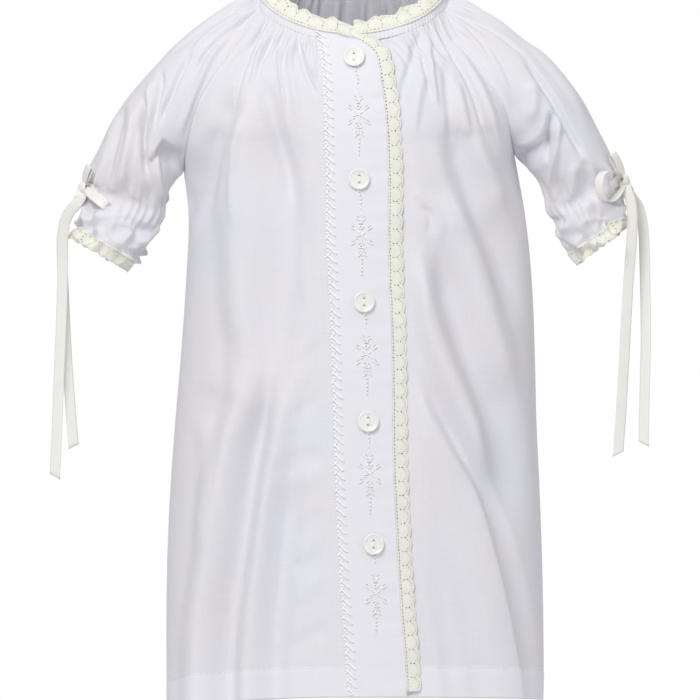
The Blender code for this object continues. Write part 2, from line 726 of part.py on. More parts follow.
for number, (x, z) in enumerate(BUTTONS, 1):
    v = row_at(x, z)
    t = along_front(x, v)
    normal = outward(FRONT, t, v, 1)
    sideways = Vector((1, 0, 0))
    sideways = (sideways - normal * sideways.dot(normal)).normalized()
    upward = normal.cross(sideways)
    placed = Matrix((sideways, upward, normal)).transposed().to_4x4()
    base = FRONT(t, v) + normal * (PLACKET_PROUD + BUTTON_CLEAR)
    placed.translation = base * MM
    bm = bmesh.new()
    add_disc(bm, BUTTON_DIAMETER, BUTTON_THICKNESS, BUTTON_SIDES,
             (0, 0, BUTTON_THICKNESS / 2))
    rim = [edge for edge in bm.edges
           if all(vert.co.z > BUTTON_THICKNESS / 2 * MM for vert in edge.verts)]
    bmesh.ops.bevel(bm, geom=rim, offset=RIM * MM, segments=1, profile=0.5,
                    affect="EDGES", material=-1)
    button = add_object(f"button_{number}", bm, SHELL)
    button.matrix_world = placed
    bm = bmesh.new()
    for half in (-0.5, 0.5):
        add_disc(bm, BUTTON_HOLE, BUTTON_THICKNESS * 4, HOLE_SIDES,
                 (0, half * BUTTON_HOLE_PITCH, 0))
    drill = add_object(f"drill_{number}", bm, SHELL)
    drill.matrix_world = placed
    drill.hide_render = True
    drill.display_type = "WIRE"
    holes = button.modifiers.new("thread_holes", "BOOLEAN")
    holes.operation = "DIFFERENCE"
    holes.solver = "EXACT"
    holes.object = drill

# Ribbons, bows and tails. Left is the wearer's left.
# Loops. Columns: way outward x, y, z, length, half opening, and the side of the opening
LOOPS = {
    -1: (
        ("loop_right_upper", (-0.05, -0.40, 0.95), 10.0, 2.4, (1.0, -0.5, 0.1)),
        ("loop_right_front", (0.50, -0.80, -0.42), 19.0, 3.4, (0.2, -0.3, 0.9)),
    ),
    1: (
        ("loop_left_upper", (-0.12, -0.40, 1.0), 16.0, 3.2, (1.0, 0.5, 0.1)),
        ("loop_left_front", (-0.58, -0.90, -0.20), 20.0, 6.0, (-0.2, -0.1, 1.0)),
    ),
}
# Tails: the ribbon's free ends, from the knot down. Columns: x, y, z
TAILS = {
    "tail_right_front": (
        (-162.3, -13.3, -125.9), (-162.9, -13.6, -128.0), (-165.6, -13.4, -132.0),
        (-169.4, -12.2, -136.5), (-172.2, -10.6, -143.0), (-173.3, -9.0, -153.0),
        (-173.5, -8.0, -166.0), (-173.7, -7.4, -180.0), (-174.2, -7.0, -196.0),
        (-174.8, -6.8, -212.0), (-175.5, -6.6, -228.0), (-176.1, -6.4, -244.0),
        (-176.7, -6.2, -260.0), (-177.4, -6.0, -277.0), (-178.2, -5.8, -295.0),
    ),
    "tail_right_back": (
        (-162.3, -11.3, -125.9), (-163.0, -10.8, -128.0), (-166.0, -9.0, -131.6),
        (-169.8, -6.6, -136.0), (-172.6, -4.4, -143.0), (-174.0, -2.8, -153.0),
        (-173.9, -1.6, -166.0), (-173.2, -1.0, -180.0), (-172.4, -0.8, -196.0),
        (-171.6, -0.8, -212.0), (-170.7, -0.9, -228.0), (-169.6, -1.0, -244.0),
        (-168.4, -1.1, -260.0), (-167.0, -1.2, -277.0),
    ),
    "tail_left_front": (
        (164.5, -13.1, -121.0), (165.2, -13.6, -124.0), (166.8, -13.8, -128.5),
        (167.8, -13.6, -135.0), (168.0, -13.0, -146.0), (167.2, -12.2, -160.0),
        (165.9, -11.6, -176.0), (164.9, -11.2, -192.0), (164.0, -11.0, -208.0),
        (163.2, -10.8, -224.0), (162.3, -10.6, -240.0), (161.4, -10.4, -256.0),
        (160.4, -10.2, -270.0), (159.6, -10.0, -281.4),
    ),
    "tail_left_back": (
        (164.5, -11.2, -121.0), (165.4, -10.8, -124.0), (168.6, -9.2, -128.0),
        (171.8, -7.0, -133.0), (174.0, -5.0, -141.0), (175.2, -3.4, -152.0),
        (175.6, -2.4, -166.0), (175.9, -2.0, -180.0), (176.2, -1.8, -196.0),
        (176.3, -1.8, -212.0), (176.0, -1.9, -228.0), (175.6, -2.0, -244.0),
        (175.2, -2.1, -260.0), (175.0, -2.2, -275.4),
    ),
}
KNOT_SIZE = (3.0, 3.6, 3.9)
KNOT_CLEAR = 0.35
LOOP_CLEAR = 0.35
LOOP_START = 0.085
KNOT_T = -1 / 6
RIBBON_COLUMNS = 24


def smooth_path(points, count):
    """Evenly counted points on a smooth curve through a hand-made route."""
    rail = [Vector(point) for point in points]
    curve = loft(lambda row, t: rail[row], 0, len(rail) - 1)
    return [curve(0, share * (len(rail) - 1)) for share in spread(count)]


def ribbon_strip(name, path, across):
    """A flat ribbon along a path; across gives its width's direction and share."""
    grid = []
    for place, (point, side_way) in enumerate(zip(path, across)):
        run = path[min(place + 1, len(path) - 1)] - path[max(place - 1, 0)]
        run.normalize()
        half = (side_way - run * side_way.dot(run)).normalized() * RIBBON_WIDTH / 2
        half *= side_way.length
        grid.append([point - half, point + half])
    return wall(name, grid, SATIN, outer=RIBBON_WALL / 2, thick=RIBBON_WALL)


for side, word in ((-1, "right"), (1, "left")):
    rows = []
    for v in (RIBBON_ROW - 0.36, RIBBON_ROW, RIBBON_ROW + 0.36):
        rows.append([SLEEVE[side](side * (2 * share - 1), v)
                     for share in spread(RIBBON_COLUMNS)])
    knot_at = round(RIBBON_COLUMNS * (1 + side * KNOT_T) / 2)
    turned = [row[knot_at:-1] + row[:knot_at + 1] for row in rows]
    band_normals = {}
    note_normals(band_normals, rows)
    wall(f"ribbon_{word}", turned, SATIN, outer=RIBBON_CLEAR + RIBBON_WALL,
         thick=RIBBON_WALL, gaps=(0, 0, SEAM, SEAM), shared=band_normals)

    out = outward(SLEEVE[side], KNOT_T, RIBBON_ROW, 1 if side > 0 else -1)
    proud = RIBBON_CLEAR + RIBBON_WALL + KNOT_CLEAR + KNOT_SIZE[0]
    centre = SLEEVE[side](KNOT_T, RIBBON_ROW) + out * proud
    bm = bmesh.new()
    bmesh.ops.create_uvsphere(bm, u_segments=8, v_segments=6, radius=1)
    shape = Matrix.Diagonal((*KNOT_SIZE, 1))
    along = out.cross(Vector((0, 0, 1))).normalized()
    tip = Matrix((out, along, out.cross(along))).transposed()
    bmesh.ops.transform(bm, matrix=Matrix.Translation(centre) @ tip.to_4x4() @ shape,
                        verts=bm.verts)
    bmesh.ops.scale(bm, vec=(MM, MM, MM), verts=bm.verts)
    bmesh.ops.recalc_face_normals(bm, faces=bm.faces[:])
    add_object(f"knot_{word}", bm, SATIN)

    for name, way, length, half_open, opening in LOOPS[side]:
        way = Vector(way).normalized()
        opening = Vector(opening)
        opening = (opening - way * opening.dot(way)).normalized()
        width_way = way.cross(opening)
        local = tip.transposed() @ way
        skin = 1 / math.sqrt(sum((part / size)**2 for part, size in zip(local, KNOT_SIZE)))
        start = skin + LOOP_CLEAR + RIBBON_WALL / 2 - length * (1 - cos(tau * LOOP_START)) / 2
        path = []
        across = []
        for step in spread(12):
            turn = tau * (LOOP_START + (1 - 2 * LOOP_START) * step)
            path.append(centre + way * (start + length * (1 - cos(turn)) / 2)
                        + opening * half_open * sin(turn) * (0.6 + 0.4 * (1 - cos(turn)) / 2))
            across.append(width_way * (0.62 + 0.38 * smooth(0, 0.3, sin(turn / 2))))
        ribbon_strip(name, path, across)

for name, route in TAILS.items():
    path = smooth_path(route, 16)
    side_way = Vector((1, 0, 0))
    ribbon_strip(name, path, [side_way] * len(path))
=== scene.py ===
"""A newborn's white cotton daygown, filled out as it is worn.

The front faces -Y, the wearer's left is +X and Z is up. Tables and sizes are in
millimetres, and meshes and the calls of the frame are in metres.
"""
from math import asin, cos, degrees, pi, radians, sin, sqrt, tau

import bmesh
import bpy
import numpy as np
from mathutils import Matrix, Vector


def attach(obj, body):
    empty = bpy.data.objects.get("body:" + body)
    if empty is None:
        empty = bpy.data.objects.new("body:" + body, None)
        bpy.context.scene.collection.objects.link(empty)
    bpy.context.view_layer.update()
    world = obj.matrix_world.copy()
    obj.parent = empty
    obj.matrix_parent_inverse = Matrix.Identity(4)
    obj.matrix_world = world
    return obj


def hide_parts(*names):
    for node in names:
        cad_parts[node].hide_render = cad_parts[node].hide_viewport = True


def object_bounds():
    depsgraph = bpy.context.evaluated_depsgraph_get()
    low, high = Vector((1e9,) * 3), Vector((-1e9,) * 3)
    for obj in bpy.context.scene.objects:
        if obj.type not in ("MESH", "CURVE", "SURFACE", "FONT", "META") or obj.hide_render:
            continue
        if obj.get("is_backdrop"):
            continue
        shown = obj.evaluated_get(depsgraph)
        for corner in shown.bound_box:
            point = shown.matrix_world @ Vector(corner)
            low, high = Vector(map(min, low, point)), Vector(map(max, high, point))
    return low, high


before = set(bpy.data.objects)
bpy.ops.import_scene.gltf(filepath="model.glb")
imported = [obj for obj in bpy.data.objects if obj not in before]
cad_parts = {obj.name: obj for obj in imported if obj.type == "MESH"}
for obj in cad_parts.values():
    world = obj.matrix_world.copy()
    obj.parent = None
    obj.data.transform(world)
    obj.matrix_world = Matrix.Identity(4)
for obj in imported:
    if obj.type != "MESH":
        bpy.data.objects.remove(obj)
cad_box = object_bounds()

# Camera, light and floor.
# A long lens level with the middle of the gown, a large soft light from the upper left,
# weaker ones from the right, above the neck and behind, and a pale floor below the hem.
MM = 0.001
LIT_POINT = (0, 0, -0.22)
FLOOR_Z = -0.52


def put(name, data):
    """A new object in the scene."""
    made = bpy.data.objects.new(name, data)
    bpy.context.collection.objects.link(made)
    return made


camera_data = bpy.data.cameras.new("camera")
camera_data.lens = 1714.3
camera_data.clip_end = 60
camera = put("camera", camera_data)
camera.location = (-0.0012, -20.0, -0.219)
camera.rotation_euler = (pi / 2, 0, 0)
bpy.context.scene.camera = camera
bpy.context.scene.view_settings.view_transform = "Standard"

for name, place, size, watts in (
        ("key_light", (-0.75, -1.9, 1.25), 1.0, 28.0),
        ("side_light", (1.9, -1.4, 0.1), 1.4, 5.5),
        ("neck_light", (-0.05, -0.45, 0.75), 0.4, 0.9),
        ("rear_light", (0.5, 2.2, 1.4), 1.6, 16.0)):
    lamp = bpy.data.lights.new(name, "AREA")
    lamp.size = size
    lamp.energy = watts
    light = put(name, lamp)
    light.location = place
    aim = Vector(LIT_POINT) - light.location
    light.rotation_euler = aim.to_track_quat("-Z", "Y").to_euler()
    light.visible_camera = False


def add(tree, kind, inputs=(), **settings):
    """Adds a shader node; each input gets a value, or a socket that is linked to it."""
    node = tree.nodes.new("ShaderNode" + kind)
    for key, value in settings.items():
        setattr(node, key, value)
    for key, value in dict(inputs).items():
        if isinstance(value, bpy.types.NodeSocket):
            tree.links.new(value, node.inputs[key])
        else:
            node.inputs[key].default_value = value
    return node


def finish_of(name, roughness, **shader):
    """A material with its node tree and its shader."""
    made = bpy.data.materials.new(name)
    made.use_nodes = True
    surface = made.node_tree.nodes["Principled BSDF"]
    surface.inputs["Roughness"].default_value = roughness
    for key, value in shader.items():
        surface.inputs[key.replace("_", " ")].default_value = value
    return made, made.node_tree, surface


def connect(tree, node, **sockets):
    """Links sockets to a node's inputs, whose names are given with _ for a space."""
    for key, socket in sockets.items():
        tree.links.new(socket, node.inputs[key.replace("_", " ")])


def noise(tree, where, scale, **more):
    """The value of a noise texture on coordinates."""
    return add(tree, "TexNoise", {"Vector": where, "Scale": scale, **more}).outputs["Fac"]


def mix(tree, share, first, second):
    """A colour between two."""
    return add(tree, "MixRGB", {"Fac": share, "Color1": first, "Color2": second}).outputs[0]


def mesh_from(name, bm):
    """The mesh of a finished bmesh."""
    mesh = bpy.data.meshes.new(name)
    bm.to_mesh(mesh)
    bm.free()
    return mesh


world = bpy.data.worlds.new("studio")
bpy.context.scene.world = world
world.use_nodes = True
sky = world.node_tree
sky.nodes.clear()
seen = add(sky, "Background", {"Color": (1, 1, 1, 1), "Strength": 1.0})
ambient = add(sky, "Background", {"Color": (0.97, 0.975, 1.0, 1), "Strength": 0.46})
ray = add(sky, "LightPath")
both = add(sky, "MixShader", {0: ray.outputs["Is Camera Ray"], 1: ambient.outputs[0],
                              2: seen.outputs[0]})
sky.links.new(both.outputs[0], sky.nodes.new("ShaderNodeOutputWorld").inputs[0])

floor_paint, tree, shader = finish_of("pale_floor", 0.7)
place = add(tree, "TexCoord").outputs["Object"]
tone = mix(tree, noise(tree, place, 9.0), (0.84, 0.84, 0.85, 1), (0.88, 0.88, 0.88, 1))
connect(tree, shader, Base_Color=tone)
bm = bmesh.new()
bmesh.ops.create_circle(bm, cap_ends=True, segments=96, radius=0.6)
bmesh.ops.translate(bm, vec=(0, 0, FLOOR_Z), verts=bm.verts)
floor = put("floor", mesh_from("floor", bm))
floor.data.materials.append(floor_paint)
floor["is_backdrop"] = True

# Ribbon tails.
# The free ends of the two cuff ribbons, quarter-inch cream satin with woven edges. They
# hang from the knots, turn a little on the way down and are cut on the slant.
RIBBON_WIDTH = 6.35
RIBBON_THICK = 0.25
TAILS = {
    "tail_right_front": (
        (-162.3, -13.3, -125.9), (-162.9, -13.6, -128.0), (-165.6, -13.4, -132.0),
        (-169.4, -12.2, -136.5), (-172.2, -10.6, -143.0), (-173.3, -9.0, -153.0),
        (-173.5, -8.0, -166.0), (-173.7, -7.4, -180.0), (-174.2, -7.0, -196.0),
        (-174.8, -6.8, -212.0), (-175.5, -6.6, -228.0), (-176.1, -6.4, -244.0),
        (-176.7, -6.2, -260.0), (-177.4, -6.0, -277.0), (-178.2, -5.8, -295.0),
    ),
    "tail_right_back": (
        (-162.3, -11.3, -125.9), (-163.0, -10.8, -128.0), (-166.0, -9.0, -131.6),
        (-169.8, -6.6, -136.0), (-172.6, -4.4, -143.0), (-174.0, -2.8, -153.0),
        (-173.9, -1.6, -166.0), (-173.2, -1.0, -180.0), (-172.4, -0.8, -196.0),
        (-171.6, -0.8, -212.0), (-170.7, -0.9, -228.0), (-169.6, -1.0, -244.0),
        (-168.4, -1.1, -260.0), (-167.0, -1.2, -277.0),
    ),
    "tail_left_front": (
        (164.5, -13.1, -121.0), (165.2, -13.6, -124.0), (166.8, -13.8, -128.5),
        (167.8, -13.6, -135.0), (168.0, -13.0, -146.0), (167.2, -12.2, -160.0),
        (165.9, -11.6, -176.0), (164.9, -11.2, -192.0), (164.0, -11.0, -208.0),
        (163.2, -10.8, -224.0), (162.3, -10.6, -240.0), (161.4, -10.4, -256.0),
        (160.4, -10.2, -270.0), (159.6, -10.0, -281.4),
    ),
    "tail_left_back": (
        (164.5, -11.2, -121.0), (165.4, -10.8, -124.0), (168.6, -9.2, -128.0),
        (171.8, -7.0, -133.0), (174.0, -5.0, -141.0), (175.2, -3.4, -152.0),
        (175.6, -2.4, -166.0), (175.9, -2.0, -180.0), (176.2, -1.8, -196.0),
        (176.3, -1.8, -212.0), (176.0, -1.9, -228.0), (175.6, -2.0, -244.0),
        (175.2, -2.1, -260.0), (175.0, -2.2, -275.4),
    ),
}
# How far each tail turns on its way down, in degrees, and the slant of its cut end
TAIL_TURNS = {"tail_right_front": (-8, 10, 0.55), "tail_right_back": (20, -14, -0.4),
              "tail_left_front": (12, -10, -0.6), "tail_left_back": (-16, 12, 0.5)}


def calc(tree, operation, *values, kind="Math"):
    """What a Math or Vector Math node makes of numbers, vectors and sockets."""
    node = add(tree, kind, dict(enumerate(values)), operation=operation)
    return node.outputs["Value" if operation == "DISTANCE" else 0]


def remap(tree, value, low, high, at_low=0.0, at_high=1.0):
    """A value that goes from at_low to at_high while another goes from low to high."""
    return add(tree, "MapRange", {"Value": value, "From Min": low, "From Max": high,
                                  "To Min": at_low, "To Max": at_high}).outputs[0]


def ramp(tree, value, first, last, *between):
    """A colour that follows a value; each stop is its place and its colour."""
    node = add(tree, "ValToRGB", {"Fac": value})
    stops = node.color_ramp.elements
    for stop, (at, colour) in zip((stops[0], stops[1]), (first, last)):
        stop.position = at
        stop.color = (*colour, 1)
    for at, colour in between:
        stops.new(at).color = (*colour, 1)
    return node.outputs[0]


def relief(tree, height, strength, distance, **more):
    """A normal that makes a height look raised."""
    inputs = {"Height": height, "Strength": strength, "Distance": distance, **more}
    return add(tree, "Bump", inputs).outputs[0]


satin, tree, shader = finish_of("cream_satin", 0.28, Anisotropic=0.5, Sheen_Weight=0.25,
                                Sheen_Roughness=0.4)
cloth = add(tree, "UVMap", uv_map="cloth").outputs[0]
strands = add(tree, "Mapping", {"Vector": cloth, "Scale": (9.0, 0.22, 1.0)})
fibre = noise(tree, strands.outputs[0], 1.0, Detail=4.0)
tone = ramp(tree, fibre, (0.3, (0.915, 0.90, 0.84)), (0.7, (0.96, 0.95, 0.895)))
apart = add(tree, "SeparateXYZ", {"Vector": cloth})
off_middle = calc(tree, "SUBTRACT", apart.outputs["X"], RIBBON_WIDTH / 2)
selvedge = remap(tree, calc(tree, "ABSOLUTE", off_middle), 2.7, 3.0)
picks = calc(tree, "SINE", calc(tree, "MULTIPLY", apart.outputs["Y"], 14.0))
ridge = calc(tree, "MULTIPLY", picks, selvedge)
height = calc(tree, "MULTIPLY_ADD", fibre, 0.5, ridge)
connect(tree, shader, Base_Color=tone, Normal=relief(tree, height, 0.35, 0.00008))


def through(a, b, c, d, s):
    """A smooth curve from b to c, with a before them and d after them."""
    return 0.5 * (b * 2 + (c - a) * s + (a * 2 - b * 5 + c * 4 - d) * s**2
                  + (b * 3 - a - c * 3 + d) * s**3)


def smooth_path(points, count):
    """Evenly counted points on a smooth curve through a given route."""
    rail = np.array(points, float)
    rail = np.vstack((rail[0] * 2 - rail[1], rail, rail[-1] * 2 - rail[-2]))
    place = np.linspace(0, len(points) - 1, count)
    first = np.minimum(place.astype(int), len(points) - 2)
    return through(rail[first], rail[first + 1], rail[first + 2], rail[first + 3],
                   (place - first)[:, None])


def soft_step(low, high, value):
    """0 at low, 1 at high and a soft step between."""
    s = np.clip((np.asarray(value, float) - low) / (high - low), 0, 1)
    return s * s * (3 - 2 * s)


def unit(vectors):
    """Vectors of length 1."""
    return vectors / np.linalg.norm(vectors, axis=-1, keepdims=True)


def lay_sheet(name, points, finish, thick, offset=-1, cloth=None, doubled=None):
    """A sheet on rows of points that run rightwards, seen from outside, and downwards."""
    rows, columns = points.shape[:2]
    bm = bmesh.new()
    bmesh.ops.create_grid(bm, x_segments=columns - 1, y_segments=rows - 1, size=1)
    bmesh.ops.reverse_faces(bm, faces=bm.faces[:])
    mesh = mesh_from(name, bm)
    mesh.vertices.foreach_set("co", (points * MM).ravel())
    if cloth is None:
        wide = np.linalg.norm(np.diff(points, axis=1), axis=2).sum(1).max()
        steps = np.linalg.norm(np.diff(points, axis=0), axis=2).mean(1)
        down = np.concatenate(([0], np.cumsum(steps)))
        cloth = np.stack(np.meshgrid(np.linspace(0, wide, columns), down), -1)
    grain = mesh.uv_layers.new(name="cloth")
    corners = np.empty(len(mesh.loops), int)
    mesh.loops.foreach_get("vertex_index", corners)
    grain.data.foreach_set("uv", cloth.reshape(-1, 2)[corners].ravel())
    if doubled is not None:
        layers = mesh.attributes.new("doubled", "FLOAT", "POINT")
        layers.data.foreach_set("value", np.ravel(doubled))
    mesh.materials.append(finish)
    mesh.shade_smooth()
    mesh.update()
    piece = put(name, mesh)
    wall = piece.modifiers.new("thickness", "SOLIDIFY")
    wall.thickness = thick * MM
    wall.offset = offset
    return piece


def lay_ribbon(name, path, across, slant=0.0, cup=0.12):
    """A satin ribbon along a path; across is the way of its width, 1 long where flat."""
    run = unit(np.gradient(path, axis=0))
    full = np.linalg.norm(across, axis=1, keepdims=True)
    side = unit(across - run * (across * run).sum(1, keepdims=True)) * full
    face = unit(np.cross(run, side))
    share = np.linspace(-0.5, 0.5, 9)
    points = (path[:, None] + side[:, None] * share[None, :, None] * RIBBON_WIDTH
              + face[:, None] * (cup * (1 - 4 * share**2))[None, :, None])
    left = np.linalg.norm(path - path[-1], axis=1)
    lean = slant * RIBBON_WIDTH * (1 - soft_step(0, 8, left))
    points += run[:, None] * lean[:, None, None] * share[None, :, None]
    return lay_sheet(name, points, satin, RIBBON_THICK, offset=0)


def finish_piece(piece, slot, *nodes):
    """Puts a piece on the gown's body, in place of its CAD nodes."""
    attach(piece, "root")
    if nodes:
        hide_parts(*nodes)


for name, route in TAILS.items():
    path = smooth_path(route, 110)
    first, last, slant = TAIL_TURNS[name]
    share = np.linspace(0, 1, len(path))
    turn = np.radians(first * np.sin(share * pi) + last * np.sin(share * 1.6 * pi) * share)
    across = np.stack((np.cos(turn), np.sin(turn), np.zeros(len(path))), 1)
    tail = lay_ribbon(f"ribbon_{name}", path, across, slant)
    length = float(np.linalg.norm(np.diff(path, axis=0), axis=1).sum()) * MM
    finish_piece(tail, "cream_satin", name)

# Right front, the wearer's own.
# Fine white cotton batiste, gathered into the neck binding. It runs from the raglan and
# side seams to the feather stitch, and its deep hem is the cloth turned up.
FRONT_RAGLAN = 71.0
BACK_RAGLAN = 110.0
# Neck rings: half width, depth, extra depth in front, height at the side, drop, extra drop
NECK_RINGS = (
    (57.0, 42.0, 2.0, -8.0, 20.0, 6.0),
    (54.0, 39.3, 1.8, -1.0, 19.8, 6.8),
    (48.5, 33.0, 1.5, 6.0, 20.0, 7.0),
)
# Sleeve sections, from the neck down: outer x and z, seam x and z
SLEEVES = {
    -1: (
        (68.0, -9.5, 62.4, -24.4), (88.0, -21.0, 71.0, -37.6), (103.0, -33.0, 79.0, -49.0),
        (115.0, -45.0, 88.0, -64.0), (126.0, -57.5, 94.0, -78.0),
        (136.0, -69.5, 98.5, -96.0), (143.5, -81.0, 100.5, -111.0),
        (149.8, -93.0, 105.0, -117.0), (155.4, -105.0, 109.5, -123.5),
        (159.5, -114.5, 111.6, -131.0), (160.5, -121.0, 112.0, -138.6),
        (163.0, -128.5, 115.5, -145.5), (165.0, -137.0, 121.5, -155.5),
        (165.5, -145.0, 129.0, -165.6), (167.0, -153.5, 134.5, -172.8),
    ),
    1: (
        (68.0, -10.0, 60.0, -29.0), (87.0, -21.0, 69.0, -40.0),
        (103.0, -33.0, 77.5, -52.0), (117.0, -43.5, 85.5, -64.0),
        (127.5, -53.5, 91.5, -75.5), (137.5, -68.0, 94.5, -89.0),
        (144.0, -79.5, 97.0, -102.0), (150.5, -92.0, 104.5, -110.0),
        (156.5, -104.0, 111.0, -117.5), (161.0, -110.5, 115.0, -127.0),
        (162.6, -116.5, 116.4, -136.0), (163.4, -123.0, 120.5, -142.0),
        (164.5, -130.0, 126.0, -151.5), (165.0, -137.0, 131.4, -160.0),
        (165.8, -146.0, 136.5, -168.0),
    ),
}
# And on both sides: half depth, half angle in degrees, and rise of the back
SLEEVE_ROUND = (
    (23.0, 60.0, 4.0), (24.4, 80.0, 2.0), (28.0, 92.0, 1.0), (30.0, 102.0, 0.0),
    (30.0, 115.0, 0.0), (29.5, 137.0, 0.0), (28.5, 180.0, 0.0), (27.5, 180.0, 0.0),
    (25.0, 180.0, 0.0), (20.0, 180.0, 0.0), (16.5, 180.0, 0.0), (20.0, 180.0, 0.0),
    (24.0, 180.0, 0.0), (25.0, 180.0, 0.0), (25.5, 180.0, 0.0),
)
UNDERARM = 7
RIBBON_ROW = 11.0
LACE_ROW = 15
# Centre lines of front and back: front y and z, back y and z
CENTRES = (
    (-48.5, -42.0, 45.5, -8.0), (-52.5, -52.0, 51.0, -24.0), (-56.0, -63.0, 55.0, -40.0),
    (-58.5, -75.0, 58.0, -58.0), (-60.5, -87.0, 60.0, -75.0), (-62.0, -99.0, 61.5, -92.0),
    (-63.2, -112.0, 62.5, -110.0),
)
# Skirt sections: centre z, right side x and z, left side x and z, front and back depth
SKIRT = (
    (-141.0, -97.6, -141.0, 103.8, -141.0, 65.0, 64.0),
    (-180.0, -99.3, -180.0, 107.6, -180.0, 67.0, 66.0),
    (-219.0, -102.0, -219.0, 109.2, -219.0, 69.0, 68.0),
    (-260.0, -105.5, -260.0, 110.2, -260.0, 70.5, 69.5),
    (-300.0, -108.5, -301.0, 112.0, -300.0, 72.0, 71.0),
    (-340.0, -110.4, -343.0, 113.5, -340.0, 73.0, 72.0),
    (-376.0, -111.0, -383.0, 114.3, -377.0, 74.0, 73.0),
    (-408.5, -110.8, -419.5, 114.6, -410.0, 74.5, 73.5),
    (-426.8, -110.6, -437.8, 114.2, -429.0, 75.0, 74.0),
)
HEM_ROW = UNDERARM + len(SKIRT)
HEM_STITCH = HEM_ROW - 1
# The seam under the feather stitch: z, x
FEATHER_LINE = (
    (-27.0, -20.0), (-44.0, -16.3), (-67.0, -14.5), (-146.0, -13.0), (-202.0, -10.3),
    (-283.0, -8.1), (-351.0, -5.0), (-400.0, -1.5), (-427.0, 0.0),
)
